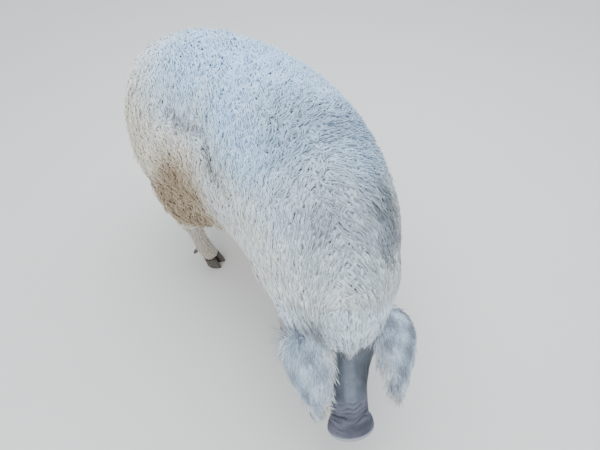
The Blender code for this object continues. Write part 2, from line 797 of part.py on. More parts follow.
def tail(name):
    end, turn = spine(0.0)
    ahead, left, up = directions(turn, 0.0)
    curve = [end - ahead * back + left * out + Vector((0, 0, height)) for back, out, height in TAIL_PATH]
    places, radii = [], []
    count = 9
    for i in range(count):
        t = i / (count - 1)
        a, b, c, d = curve
        places.append(a * (1 - t) ** 3 + b * 3 * t * (1 - t) ** 2 + c * 3 * t * t * (1 - t) + d * t**3)
        radii.append(TAIL_RADIUS + (TAIL_TIP_RADIUS - TAIL_RADIUS) * t)
    made = round_path(name, places, radii, 8, WOOL)
    combine(made, tail_tuft(places), "UNION")
    return made


def lower_leg(name, leg, grow=0.0):
    """The leg under the cut. Its cutter is grown and starts the gap higher."""
    table = FEET[name][0]
    depths = [leg_top(table) - LEG_CUT + (0.0 if grow else GAP)]
    depths += [leg_top(table) - row[2] for row in table if row[2] < LEG_CUT - 0.005]
    return tube_piece("leg_" + name, leg, depths, LEG_SIDES, grow, WOOL)


def leg_top(table):
    return table[0][2]


def upper_leg(name, leg):
    table = FEET[name][0]
    depths = [leg_top(table) - row[2] for row in table if row[2] > LEG_CUT + 0.005]
    depths.append(leg_top(table) - LEG_CUT + 0.012)
    return tube_piece("upper_" + name, leg, depths, LEG_SIDES, CORE_DEPTH * 0.5, WOOL)


def hoof(name, leg, claw):
    """One of a foot's two hooves. claw is -1 for its right one and 1 for its left one."""
    centre, _, left, ahead, _, _, _ = leg.frame(leg.last)
    rings = []
    for height, forward, long_, wide in HOOF:
        middle = centre + left * claw * HOOF_SPREAD + ahead * forward
        middle.z = height
        ring = []
        for i in range(HOOF_SIDES):
            turn = math.tau * i / HOOF_SIDES
            nose = 1.0 - 0.28 * max(math.sin(turn), 0.0)
            ring.append(middle + left * wide * math.cos(turn) * nose + ahead * long_ * math.sin(turn))
        rings.append(ring)
    return closed_loft(name, rings, HORN)


def dewclaw(name, leg, claw):
    """A small claw behind the foot, rooted in the leg."""
    centre, _, left, ahead, _, _, _ = leg.frame(leg.last - (DEWCLAW_TOP - HOOF[0][0]))
    places, radii = [], []
    for t, back, share in ((0.0, 0.012, 0.8), (0.5, 0.034, 1.0), (1.0, 0.040, 0.4)):
        place = centre + left * claw * (DEWCLAW_SPREAD + 0.004 * t) - ahead * back
        place.z = DEWCLAW_TOP - DEWCLAW_LENGTH * t
        places.append(place)
        radii.append(DEWCLAW_RADIUS * share)
    return round_path(name, places, radii, 6, HORN)


def feet_and_legs(legs):
    """The four lower legs with their hooves and dewclaws, and what clears them from the torso."""
    cutters, uppers = [], []
    for name, leg in legs.items():
        lower = lower_leg(name, leg)
        cutters.append(lower_leg(name, leg, grow=1.5 * GAP))
        uppers.append(upper_leg(name, leg))
        sockets = []
        for claw, word in ((-1, "right"), (1, "left")):
            hoof(f"hoof_{name}_{word}", leg, claw)
            sockets.append(grown(dewclaw(f"dewclaw_{name}_{word}", leg, claw)))
        combine(lower, sockets, "DIFFERENCE")
    return cutters, uppers


def main():
    clear_scene()
    trunk = Tube(trunk_frame, 0.0, TRUNK[-1][0])
    skull = Tube(skull_frame, SKULL[0][0], SKULL[-1][0])
    jaw = Tube(jaw_frame, JAW[0][0], JAW[-1][0])
    legs = {name: leg_tube(name) for name in FEET}
    cutters, pieces = feet_and_legs(legs)
    whole = tube_piece("whole", trunk, TRUNK_RINGS, TRUNK_SIDES, lambda s: CORE_DEPTH * coat_at(s), WOOL)
    pieces.append(tube_piece("skull", skull, [row[0] for row in SKULL], HEAD_SIDES, 0.0, SKIN))
    pieces.append(tube_piece("jaw", jaw, [row[0] for row in JAW], HEAD_SIDES, 0.0, SKIN))
    pieces += trunk_locks(trunk, legs.values()) + head_locks(skull)
    for name, leg in legs.items():
        pieces += leg_locks(leg, trunk, FEET[name][0])
    cutters.append(grown(tail("tail")))
    for side, word in ((1, "left"), (-1, "right")):
        pieces += lips(side)
        pieces.append(lids(side))
        cutters.append(mouth_cutter(side))
        cutters.append(nostril_cutter(side))
        cutters.append(grown(eye("eye_" + word, side)))
        hanging = ear("ear_" + word, side)
        cutters += [grown(hanging, GAP * share) for share in (1.0, 1.9)]
    combine(whole, pieces, "UNION")
    combine(whole, cutters, "DIFFERENCE")
    part_trunk(whole)
    for thing in bpy.context.scene.objects:
        thing.data.shade_smooth()
        thing.data.set_sharp_from_angle(angle=math.radians(50))


main()
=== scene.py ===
"""The looks of a woolly domestic pig: one skin with its folds, a wavy coat, eyes and horn. Metres, +Z up."""

import math

import bpy
import numpy as np
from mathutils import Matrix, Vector, noise
from mathutils.bvhtree import BVHTree


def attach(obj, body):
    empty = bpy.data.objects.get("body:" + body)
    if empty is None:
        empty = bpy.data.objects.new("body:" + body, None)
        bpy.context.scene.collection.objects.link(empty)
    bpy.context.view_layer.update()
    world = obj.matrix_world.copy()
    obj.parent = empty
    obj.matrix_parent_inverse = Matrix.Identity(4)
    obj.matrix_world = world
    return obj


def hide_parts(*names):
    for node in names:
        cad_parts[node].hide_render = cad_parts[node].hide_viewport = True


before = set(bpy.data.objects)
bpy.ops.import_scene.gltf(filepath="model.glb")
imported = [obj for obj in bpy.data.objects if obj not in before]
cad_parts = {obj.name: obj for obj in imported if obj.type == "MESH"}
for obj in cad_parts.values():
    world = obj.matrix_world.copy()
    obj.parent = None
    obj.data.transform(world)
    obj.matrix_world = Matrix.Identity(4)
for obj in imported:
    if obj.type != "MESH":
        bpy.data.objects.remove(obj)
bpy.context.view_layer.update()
bpy.ops.object.select_all(action="DESELECT")
SEED = 11
rng = np.random.default_rng(SEED)
noise.seed_set(SEED)

# Sizes of the flesh, as in the part's source
BACK_HEIGHT = 0.780
BARREL_HALF_WIDTH = 0.222
TAIL_END = (-0.536, -0.145)
TURNS = ((0.00, 40.0), (0.17, 32.0), (0.45, 6.0), (0.70, -18.0), (0.95, -30.0), (1.35, -35.0))
TRUNK = (
    (0.000, 0.565, 0.0, 0.14, 0.060, 0.070),
    (0.020, 0.560, 0.0, 0.46, 0.164, 0.150),
    (0.060, 0.556, 0.0, 0.71, 0.246, 0.225),
    (0.130, 0.554, 0.0, 0.89, 0.298, 0.285),
    (0.220, 0.556, 0.0, 0.98, 0.324, 0.315),
    (0.340, 0.552, 0.0, 1.00, 0.326, 0.332),
    (0.480, 0.544, 0.0, 0.98, 0.314, 0.336),
    (0.610, 0.532, 0.0, 0.92, 0.303, 0.326),
    (0.720, 0.520, 3.0, 0.84, 0.290, 0.305),
    (0.820, 0.508, 12.0, 0.75, 0.266, 0.268),
    (0.910, 0.482, 28.0, 0.65, 0.222, 0.225),
    (0.980, 0.450, 44.0, 0.58, 0.187, 0.195),
    (1.040, 0.405, 56.0, 0.52, 0.150, 0.165),
)
HEAD_START = 0.995
HEAD_HEIGHT = 0.462
HEAD_PITCH = 57.0
SKULL = (
    (-0.060, 0.070, 0.050, 0.070),
    (-0.020, 0.108, 0.086, 0.105),
    (0.030, 0.124, 0.104, 0.120),
    (0.070, 0.122, 0.100, 0.120),
    (0.110, 0.106, 0.084, 0.105),
    (0.150, 0.086, 0.063, 0.085),
    (0.200, 0.067, 0.050, 0.063),
    (0.250, 0.057, 0.044, 0.048),
    (0.305, 0.052, 0.041, 0.041),
    (0.357, 0.053, 0.042, 0.041),
    (0.376, 0.062, 0.051, 0.047),
    (0.398, 0.066, 0.055, 0.050),
    (0.408, 0.060, 0.049, 0.044),
)
JAW = (
    (0.030, 0.075, 0.092, 0.050, 0.055),
    (0.080, 0.080, 0.086, 0.050, 0.058),
    (0.140, 0.074, 0.066, 0.044, 0.050),
    (0.200, 0.062, 0.047, 0.034, 0.036),
    (0.260, 0.054, 0.041, 0.022, 0.026),
    (0.320, 0.050, 0.035, 0.015, 0.020),
    (0.358, 0.048, 0.026, 0.008, 0.011),
)
MOUTH = (0.185, 0.386)
MOUTH_DEPTH = 0.0405
NOSTRIL_PLACE = (0.0225, 0.002)
NOSTRIL_RADIUS = (0.0096, 0.0118)
EYE_PLACE = (0.122, 0.0800, 0.0370)
EYE_RADIUS = 0.0135
EAR_ROOT = (0.027, 0.086, 0.050)
EAR_BENDS = {1: (0.053, 0.165, 0.108), -1: (0.072, 0.145, 0.130)}
EAR_TIPS = {1: (0.276, 0.132, 0.066), -1: (0.296, 0.096, 0.064)}
EAR_FACING = (0.05, 0.62, 0.78)
EAR = (
    (0.00, 0.030, 0.020, 0.016),
    (0.15, 0.044, 0.026, 0.015),
    (0.35, 0.066, 0.026, 0.013),
    (0.55, 0.074, 0.022, 0.012),
    (0.75, 0.060, 0.015, 0.011),
    (0.90, 0.036, 0.008, 0.009),
    (1.00, 0.008, 0.002, 0.006),
)
FORE_LEG = (
    (-0.035, -0.040, 0.520, 0.088, 0.050),
    (-0.022, -0.018, 0.430, 0.086, 0.060),
    (-0.012, -0.006, 0.350, 0.068, 0.054),
    (-0.006, 0.000, 0.285, 0.048, 0.043),
    (-0.002, 0.000, 0.225, 0.036, 0.035),
    (0.004, 0.000, 0.188, 0.037, 0.037),
    (0.002, 0.000, 0.155, 0.030, 0.031),
    (0.000, 0.000, 0.118, 0.026, 0.027),
    (0.003, 0.000, 0.084, 0.029, 0.031),
    (0.012, 0.000, 0.060, 0.028, 0.032),
    (0.022, 0.000, 0.044, 0.029, 0.034),
)
HIND_LEG = (
    (0.030, -0.085, 0.600, 0.110, 0.065),
    (0.040, -0.040, 0.500, 0.128, 0.078),
    (0.045, -0.012, 0.420, 0.114, 0.072),
    (0.030, -0.002, 0.350, 0.084, 0.056),
    (-0.006, 0.000, 0.290, 0.056, 0.042),
    (-0.034, 0.000, 0.245, 0.045, 0.035),
    (-0.034, 0.000, 0.205, 0.035, 0.031),
    (-0.022, 0.000, 0.145, 0.027, 0.027),
    (-0.010, 0.000, 0.088, 0.030, 0.031),
    (0.002, 0.000, 0.062, 0.028, 0.032),
    (0.014, 0.000, 0.044, 0.029, 0.034),
)
FEET = {
    "fore_right": (FORE_LEG, 0.790, -0.116),
    "fore_left": (FORE_LEG, 0.760, 0.140),
    "hind_right": (HIND_LEG, 0.205, -0.165),
    "hind_left": (HIND_LEG, 0.130, 0.155),
}
HOOF = (
    (0.0437, 0.000, 0.0250, 0.0147),
    (0.0300, 0.005, 0.0275, 0.0155),
    (0.0160, 0.009, 0.0298, 0.0160),
    (0.0050, 0.012, 0.0313, 0.0161),
    (0.0015, 0.012, 0.0310, 0.0157),
    (0.0003, 0.012, 0.0298, 0.0145),
)
HOOF_SPREAD = 0.0172
DEWCLAW_TOP = 0.086
DEWCLAW_LENGTH = 0.034
DEWCLAW_RADIUS = 0.0112
DEWCLAW_SPREAD = 0.017
TAIL_PATH = ((-0.050, 0.000, 0.690), (0.085, 0.010, 0.690), (0.030, 0.060, 0.500), (0.070, 0.020, 0.430))
TAIL_RADIUS = (0.0165, 0.0085)
TAIL_STEPS = 40         # of its line, from root to end

# The coat
COAT_DEPTH = 0.045      # from the flesh to the tips of the wool
CORE_DEPTH = 0.019      # from the flesh to the felted wool that the skin takes in, where the coat is full
CORE_THINS = (0.94, 1.04)    # distances along the spine over which that thins out, towards the poll
CORE_HEIGHTS = (0.30, 0.42)  # heights over which it thickens, up the legs
LOCK_LENGTH = 0.072
LOCK_SPACING = 0.0187
TUFTS_IN_LOCK = 5
CURL_SPACING = 0.0098   # of the short curls under the locks
HEAD_REACH = 0.185      # from the head's axis to the last of what belongs to the head
EAR_BASE = 0.085        # from an ear's root to the last of the long soft hair round it
HAIR_SPACING = 0.0065   # of the short hair on the face and legs
WOOL_FROM = 0.30        # share of the full coat from which locks and curls are built
HAIR_TO = 0.36          # share of the full coat up to which short hair is built
LEG_REACH = 1.6         # from a leg's middle, in leg radii, to the last of what belongs to the leg
PIECE_TUFTS = 4900      # in one coat piece
PATCH = 0.003           # a tuft's patch on the coat's UV map
EAR_HAIRS = 4100
RUFF_HAIRS = 900        # of the right ear, more than the left one's
TAIL_HAIRS = 1500
LASHES = 26             # of one eye

# The skin's grain: the voxels' size and the rounds of smoothing after them
BODY_GRAIN = (0.0073, 4)
HEAD_GRAIN = (0.0025, 3)


def step(low, high, value):
    """0 under low and 1 over high, with a soft way between."""
    share = np.clip((value - low) / (high - low), 0.0, 1.0)
    return share * share * (3.0 - 2.0 * share)


def hump(value, reach):
    """1 where the value is 0, and next to 0 from two reaches on, on both sides."""
    return np.exp(-((value / reach) ** 2))


def read_table(rows, at, column):
    """One column of a table at any distance, by a cubic through its rows."""
    if at <= rows[0][0]:
        return rows[0][column]
    if at >= rows[-1][0]:
        return rows[-1][column]
    i = max(k for k in range(len(rows) - 1) if rows[k][0] <= at)
    before, low, high, after = rows[max(i - 1, 0)], rows[i], rows[i + 1], rows[min(i + 2, len(rows) - 1)]
    run = high[0] - low[0]
    t = (at - low[0]) / run
    rise_low = (high[column] - before[column]) / (high[0] - before[0]) * run
    rise_high = (after[column] - low[column]) / (after[0] - low[0]) * run
    return (
        (2 * t**3 - 3 * t**2 + 1) * low[column]
        + (t**3 - 2 * t**2 + t) * rise_low
        + (3 * t**2 - 2 * t**3) * high[column]
        + (t**3 - t**2) * rise_high
    )


SPINE_STEP = 0.005


def walk_spine():
    """Places along the spine's line, one each SPINE_STEP, from the tail's end on."""
    x, y = TAIL_END
    points = [(x, y)]
    for i in range(int(1.4 / SPINE_STEP)):
        turn = math.radians(read_table(TURNS, (i + 0.5) * SPINE_STEP, 1))
        x += SPINE_STEP * math.cos(turn)
        y += SPINE_STEP * math.sin(turn)
        points.append((x, y))
    return points


SPINE = walk_spine()


def spine(s):
    """The place on the floor at a distance along the spine, and the spine's turn there."""
    turn = math.radians(read_table(TURNS, s, 1))
    i = int(max(s, 0.0) / SPINE_STEP)
    rest = s - i * SPINE_STEP
    x, y = SPINE[i]
    return Vector((x + rest * math.cos(turn), y + rest * math.sin(turn), 0.0)), turn


def directions(turn, pitch):
    """Forward, left and up for a turn to the left and a pitch down."""
    ahead = Vector((math.cos(turn), math.sin(turn), 0.0))
    left = Vector((-math.sin(turn), math.cos(turn), 0.0))
    forward = ahead * math.cos(pitch) - Vector((0, 0, math.sin(pitch)))
    up = ahead * math.sin(pitch) + Vector((0, 0, math.cos(pitch)))
    return forward, left, up


def trunk_ring(s):
    """Centre, left, up, half width, rise and drop of the trunk at a distance along the spine."""
    centre, turn = spine(s)
    centre.z = read_table(TRUNK, s, 1)
    _, left, up = directions(turn, math.radians(read_table(TRUNK, s, 2)))
    core = CORE_DEPTH * (1.0 - step(*CORE_THINS, s))
    wide = read_table(TRUNK, s, 3) * BARREL_HALF_WIDTH
    rise, drop = (read_table(TRUNK, s, k) * BACK_HEIGHT for k in (4, 5))
    return centre, left, up, wide + core, rise + core, drop + core


HEAD_PLACE, HEAD_TURN = spine(HEAD_START)
HEAD_PLACE.z = HEAD_HEIGHT
HEAD_AHEAD, HEAD_LEFT, HEAD_UP = directions(HEAD_TURN, math.radians(HEAD_PITCH))
HEAD_AXES = np.array((HEAD_AHEAD, HEAD_LEFT, HEAD_UP))


def head_place(forward, out, up, side=1):
    """A place from the head's own measures. Side is 1 on the left and -1 on the right."""
    return HEAD_PLACE + HEAD_AHEAD * forward + HEAD_LEFT * side * out + HEAD_UP * up


def head_aim(forward, out, up, side=1):
    """A direction from the head's own measures."""
    return (HEAD_AHEAD * forward + HEAD_LEFT * side * out + HEAD_UP * up).normalized()


def in_head(points):
    """Forward, left and up in the head's own directions."""
    return (points - np.array(HEAD_PLACE)) @ HEAD_AXES.T


def skull_ring(s):
    return HEAD_PLACE + HEAD_AHEAD * s, HEAD_LEFT, HEAD_UP, *(read_table(SKULL, s, k) for k in (1, 2, 3))


def jaw_ring(s):
    centre = HEAD_PLACE + HEAD_AHEAD * s - HEAD_UP * read_table(JAW, s, 1)
    return centre, HEAD_LEFT, HEAD_UP, *(read_table(JAW, s, k) for k in (2, 3, 4))


def leg_ring(name):
    """A leg's rings, by the depth under its top."""
    table, stand, out = FEET[name]
    origin, turn = spine(stand)
    ahead, left, _ = directions(turn, 0.0)
    side = math.copysign(1.0, out)
    rows = [(table[0][2] - row[2], *row) for row in table]

    def ring(s):
        forward, outward, height, long_, wide = (read_table(rows, s, k) for k in range(1, 6))
        centre = origin + ahead * forward + left * (out + side * outward)
        centre.z = height
        core = CORE_DEPTH * step(*CORE_HEIGHTS, height)
        return centre, left, ahead, wide + core, long_ + core, long_ + core

    return ring


def keep_active(thing):
    """Selects one thing alone."""
    bpy.ops.object.select_all(action="DESELECT")
    thing.select_set(True)
    bpy.context.view_layer.objects.active = thing


def faced_out(thing):
    """Turns the faces of the active object outwards."""
    bpy.ops.object.mode_set(mode="EDIT")
    bpy.ops.mesh.select_all(action="SELECT")
    bpy.ops.mesh.normals_make_consistent(inside=False)
    bpy.ops.object.mode_set(mode="OBJECT")
    return thing


def drawn_sphere(name, around, along, place):
    """A sphere primitive whose every vertex goes to place(share from pole to pole, angle)."""
    bpy.ops.object.select_all(action="DESELECT")
    bpy.ops.mesh.primitive_uv_sphere_add(segments=around, ring_count=along, radius=1.0)
    body = bpy.context.object
    body.name = name
    for vert in body.data.vertices:
        row = round(math.acos(max(-1.0, min(1.0, vert.co.z))) / math.pi * along)
        vert.co = place(row, math.atan2(vert.co.y, vert.co.x))
    return faced_out(body)


def ring_body(name, ring, first, last, around, along):
    """A closed tube through egg-shaped rings, with a flat end at each pole."""

    def place(row, angle):
        share = min(max((row - 1) / (along - 2), 0.0), 1.0)
        centre, left, up, wide, rise, drop = ring(first + (last - first) * share)
        if row in (0, along):
            return centre
        tall = rise if math.sin(angle) > 0 else drop
        return centre + left * math.cos(angle) * wide + up * math.sin(angle) * tall

    return drawn_sphere(name, around, along, place)


def joined(pieces, name):
    """Makes several meshes one, with their faces as they are."""
    keep_active(pieces[0])
    for piece in pieces[1:]:
        piece.select_set(True)
    bpy.ops.object.join()
    pieces[0].name = name
    return pieces[0]


def finished(thing, kind, **settings):
    """Adds one modifier and applies it."""
    keep_active(thing)
    change = thing.modifiers.new(kind.lower(), kind)
    for key, value in settings.items():
        setattr(change, key, value)
    bpy.ops.object.modifier_apply(modifier=change.name)
    return thing


def fused(thing, voxel, rounds):
    """One even closed surface from overlapping bodies, smoothed."""
    finished(thing, "REMESH", mode="VOXEL", voxel_size=voxel)
    return finished(thing, "SMOOTH", factor=0.5, iterations=rounds)


def places_of(thing):
    """The vertices' places, one row each."""
    flat = np.empty(len(thing.data.vertices) * 3)
    thing.data.vertices.foreach_get("co", flat)
    return flat.reshape(-1, 3)


def normals_of(thing):
    """The vertices' ways out, one row each."""
    flat = np.empty(len(thing.data.vertices) * 3, dtype=np.float32)
    thing.data.vertex_normals.foreach_get("vector", flat)
    return flat.reshape(-1, 3).astype(float)


def put_places(thing, points):
    thing.data.vertices.foreach_set("co", points.ravel())
    thing.data.update()


# Skin

def lid_axes(side):
    """An eye's centre, and its lids' ways out, along and over."""
    look = head_aim(0.25, 0.80, 0.55, side)
    along = head_aim(1.0, 0.0, -0.1, side)
    along = (along - look * along.dot(look)).normalized()
    return head_place(*EYE_PLACE, side), look, along, along.cross(look) * side


def make_lids(side):
    """A raised almond-shaped ring round the eye, from a torus."""
    centre, look, along, over = lid_axes(side)
    bpy.ops.object.select_all(action="DESELECT")
    bpy.ops.mesh.primitive_torus_add(
        major_radius=0.0125, minor_radius=0.0050, major_segments=32, minor_segments=12,
    )
    lids = bpy.context.object
    for vert in lids.data.vertices:
        x, y, z = vert.co
        bend = 0.0085 - 26.0 * x * x
        vert.co = centre + along * x * 1.22 + over * y * 0.80 + look * (z + bend)
    return faced_out(lids)


def shape_head(head):
    """Snout disc, nostrils, wrinkles, mouth line and lips, by moving the head's own vertices."""
    points, normals = places_of(head), normals_of(head)
    forward, out, up = in_head(points).T
    ahead = np.array(HEAD_AHEAD)
    side = np.abs(out)
    front = step(0.392, 0.404, forward)
    dish = 1.0 - (out / 0.060) ** 2 - ((up - 0.002) / 0.051) ** 2
    push = -0.0045 * front * np.clip(dish, 0.0, 1.0)
    ring = ((side - NOSTRIL_PLACE[0]) / NOSTRIL_RADIUS[0]) ** 2
    ring = ring + ((up - NOSTRIL_PLACE[1]) / NOSTRIL_RADIUS[1]) ** 2
    push -= 0.016 * front * np.clip(1.0 - ring, 0.0, 1.0) ** 0.6
    push += 0.0026 * front * hump(np.sqrt(ring) - 1.35, 0.28)
    swell = np.zeros(len(points))
    rise, bridge = furrows(points)
    swell += bridge * step(-0.035, 0.005, up) * (0.0046 * rise - 0.0030)
    brow = np.exp(-(((forward - 0.118) / 0.020) ** 2 + ((side - 0.072) / 0.014) ** 2)) * step(0.03, 0.06, up)
    swell += 0.004 * brow
    line = np.clip((forward - MOUTH[0]) / (MOUTH[1] - MOUTH[0]), 0.0, 1.0)
    away = up + MOUTH_DEPTH + 0.010 * (1.0 - line) ** 2
    along = step(MOUTH[0] - 0.006, MOUTH[0] + 0.010, forward) * (1.0 - step(0.376, 0.388, forward))
    swell += along * 0.0022 * hump(np.abs(away) - 0.0065, 0.0042)
    swell -= along * 0.0050 * hump(away, 0.0024)
    cheek = hump(forward - 0.205, 0.05) * step(0.0, 0.03, side) * step(-0.08, -0.02, up)
    swell += 0.0016 * cheek * np.sin(2 * math.pi * (up + 0.35 * forward) / 0.013)
    under_eye = np.sqrt(((forward - EYE_PLACE[0]) / 1.25) ** 2 + (up - EYE_PLACE[2]) ** 2) - 0.024
    below = step(0.05, 0.07, side) * (1.0 - step(0.03, 0.045, up))
    swell -= 0.0022 * hump(under_eye, 0.0022) * below
    put_places(head, points + push[:, None] * ahead + swell[:, None] * normals)


def ear_line(t, side):
    """The ear's middle line in the head's measures, bent from root to tip."""
    return tuple(
        (1 - t) ** 2 * root + 2 * t * (1 - t) * bend + t**2 * tip
        for root, bend, tip in zip(EAR_ROOT, EAR_BENDS[side], EAR_TIPS[side])
    )


def ear_section(t, side):
    """Middle, across and facing directions of the ear at a share of its length."""
    middle = head_place(*ear_line(t, side), side)
    along = head_place(*ear_line(t + 0.01, side), side) - head_place(*ear_line(t - 0.01, side), side)
    across = along.cross(head_aim(*EAR_FACING, side)).normalized()
    return middle, across, across.cross(along).normalized()


def ear_point(t, u, face, side):
    """A point on the ear: t from root to tip, u across, face 1 on its outside and -1 in its cup."""
    middle, across, facing = ear_section(t, side)
    _, wide, cup, thick = (read_table(EAR, t, k) for k in range(4))
    ripple = 0.0022 * math.sin(9.0 * t + 5.0 * u) * u * u
    half = 0.42 * thick * face * math.sqrt(max(1.0 - u * u, 0.0))
    return middle + across * wide * 0.97 * u + facing * (half + ripple - cup * u * u)


def make_ear(side):
    """A lop ear: a thin closed leaf with a cup inside."""
    rows = 40

    def place(row, angle):
        u, face = math.cos(angle), math.copysign(math.sqrt(abs(math.sin(angle))), math.sin(angle))
        t = min(max(row / rows, 0.0), 1.0)
        if row in (0, rows):
            return ear_point(t, 0.0, 0.0, side)
        return ear_point(t, u, face, side)

    return drawn_sphere("ear_skin", 32, rows, place)


def tail_points(count):
    """Places along the tail, from root to end."""
    end, turn = spine(0.0)
    ahead, left, _ = directions(turn, 0.0)
    a, b, c, d = (end - ahead * back + left * out + Vector((0, 0, height)) for back, out, height in TAIL_PATH)
    shares = [i / (count - 1) for i in range(count)]
    return [a * (1 - t) ** 3 + b * 3 * t * (1 - t) ** 2 + c * 3 * t * t * (1 - t) + d * t**3 for t in shares]


def make_tail():
    """The tail's flesh, a closed tube that thins to its end."""
    line = tail_points(TAIL_STEPS + 1)

    def ring(s):
        i = round(s * TAIL_STEPS)
        along = (line[min(i + 1, TAIL_STEPS)] - line[max(i - 1, 0)]).normalized()
        across = along.cross(Vector((0.31, 0.17, 0.93))).normalized()
        radius = TAIL_RADIUS[0] + (TAIL_RADIUS[1] - TAIL_RADIUS[0]) * s
        return line[i], across, across.cross(along), radius, radius, radius

    return ring_body("tail_skin", ring, 0.0, 1.0, 16, 42)


def make_skin():
    """The whole skin, from body, head and ears, each at its own grain. Also a search tree over the ears."""
    body = [ring_body("body_skin", trunk_ring, 0.0, TRUNK[-1][0], 64, 80), make_tail()]
    for name in FEET:
        depth = FEET[name][0][0][2] - FEET[name][0][-1][2]
        body.append(ring_body("leg_skin", leg_ring(name), 0.0, depth, 32, 60))
    whole = fused(joined(body, "skin"), *BODY_GRAIN)
    head = [
        ring_body("head_skin", skull_ring, SKULL[0][0], SKULL[-1][0], 64, 110),
        ring_body("jaw_skin", jaw_ring, JAW[0][0], JAW[-1][0], 48, 80),
        make_lids(1),
        make_lids(-1),
    ]
    head = fused(joined(head, "head_skin"), *HEAD_GRAIN)
    shape_head(head)
    ears = [make_ear(1), make_ear(-1)]
    for other in (head, *ears):
        finished(whole, "BOOLEAN", operation="UNION", solver="MANIFOLD", object=other)
    ear_tree = tree_of(ears)
    for other in (head, *ears):
        bpy.data.objects.remove(other)
    keep_active(whole)
    bpy.ops.object.shade_smooth()
    return whole, ear_tree


def tree_of(things):
    """A search tree over the faces of some meshes."""
    verts, faces = [], []
    for thing in things:
        start = len(verts)
        verts += [vert.co.copy() for vert in thing.data.vertices]
        faces += [tuple(start + i for i in face.vertices) for face in thing.data.polygons]
    return BVHTree.FromPolygons(verts, faces)


# Where a place is on the body

SPINE_LINE = np.array(SPINE[::2])
SPINE_TURNS = np.radians([read_table(TURNS, i * SPINE_STEP, 1) for i in range(0, len(SPINE), 2)])
SPINE_HEIGHTS = np.array([read_table(TRUNK, i * SPINE_STEP, 1) for i in range(0, len(SPINE), 2)])
TAIL_LINE = np.array(tail_points(21))[3:]


def on_spine(points):
    """Each point's distance along the spine, side step to the left, angle round the spine and way ahead."""
    gaps = ((points[:, None, :2] - SPINE_LINE[None]) ** 2).sum(2)
    nearest = gaps.argmin(1)
    turn = SPINE_TURNS[nearest]
    ahead = np.stack((np.cos(turn), np.sin(turn), np.zeros(len(turn))), 1)
    arm = points[:, :2] - SPINE_LINE[nearest]
    left = -np.sin(turn) * arm[:, 0] + np.cos(turn) * arm[:, 1]
    beyond = np.cos(turn) * arm[:, 0] + np.sin(turn) * arm[:, 1]
    s = nearest * 2 * SPINE_STEP + beyond
    level = np.arctan2(points[:, 2] - SPINE_HEIGHTS[nearest], left)
    return s, left, level, ahead


def leg_lines():
    """For each leg: heights, then centre x and y, half length and half width at them, and its way forward."""
    made = {}
    for name, (table, stand, out) in FEET.items():
        origin, turn = spine(stand)
        ahead, left, _ = directions(turn, 0.0)
        side = math.copysign(1.0, out)
        rows = []
        for forward, outward, height, long_, wide in reversed(table):
            centre = origin + ahead * forward + left * (out + side * outward)
            rows.append((height, centre.x, centre.y, long_, wide))
        made[name] = np.array(rows), np.array(ahead)[:2], np.array(left)[:2]
    return made


LEGS = leg_lines()


def on_legs(points):
    """How many leg radii each point is from its nearest leg's middle, and that leg's number."""
    shares = []
    for rows, ahead, left in LEGS.values():
        x, y, long_, wide = (np.interp(points[:, 2], rows[:, 0], rows[:, k]) for k in range(1, 5))
        arm = points[:, :2] - np.stack((x, y), 1)
        share = np.sqrt((arm @ ahead / long_) ** 2 + (arm @ left / wide) ** 2)
        shares.append(np.where(points[:, 2] > rows[-1, 0], 9.0, share))
    shares = np.array(shares)
    return shares.min(0), shares.argmin(0)


def drift(points, scale, seed):
    """Soft noise at each point, three numbers from -1 to 1, with features about scale metres across."""
    shift = Vector((seed * 7.3, seed * 3.1, seed * 5.7))
    return np.array([noise.noise_vector(Vector(point) / scale + shift) for point in points])


def near_head(points):
    """1 on the head, and 0 away from its axis, as on the forelegs behind it."""
    forward, out, up = in_head(points).T
    return step(-0.06, -0.02, forward) * (1.0 - step(HEAD_REACH, HEAD_REACH + 0.03, np.hypot(out, up)))


def coat_share(points, normals):
    """The coat's length at each point, as a share of that on the back."""
    forward, out, up = in_head(points).T
    cheek = np.abs(out) * (1.0 - step(0.02, 0.08, up)) * step(-0.01, 0.05, forward)
    beside = 2.4 * np.clip(np.abs(out) - 0.045, 0.0, 1.0) * step(0.0, 0.05, up) * step(0.005, 0.04, forward)
    at = forward + 0.40 * cheek + beside - 0.034 * hump(out, 0.014) + 0.008
    at = at + 0.014 * hump(np.abs(out) - 0.034, 0.012)
    face = np.interp(at, (-0.01, 0.045, 0.080, 0.112, 0.18), (1.00, 0.95, 0.68, 0.16, 0.08))
    head = near_head(points)
    near, _ = on_legs(points)
    leg = np.interp(points[:, 2], (0.05, 0.12, 0.22, 0.30, 0.40), (0.12, 0.16, 0.24, 0.48, 1.0))
    leg = np.where(((near < LEG_REACH) | (points[:, 2] < 0.25)) & (head < 0.5), leg, 1.0)
    belly = 1.0 - 0.35 * step(0.5, 0.9, -normals[:, 2])
    fold = 1.0 - 0.50 * folds(points + normals * FOLD_REACH)[1]
    gap = np.linalg.norm(points[:, None] - TAIL_LINE[None], axis=2).min(1)
    tail = 1.0 - 0.5 * (1.0 - step(0.020, 0.030, gap))
    return (face * head + 1.0 - head) * leg * belly * fold * tail


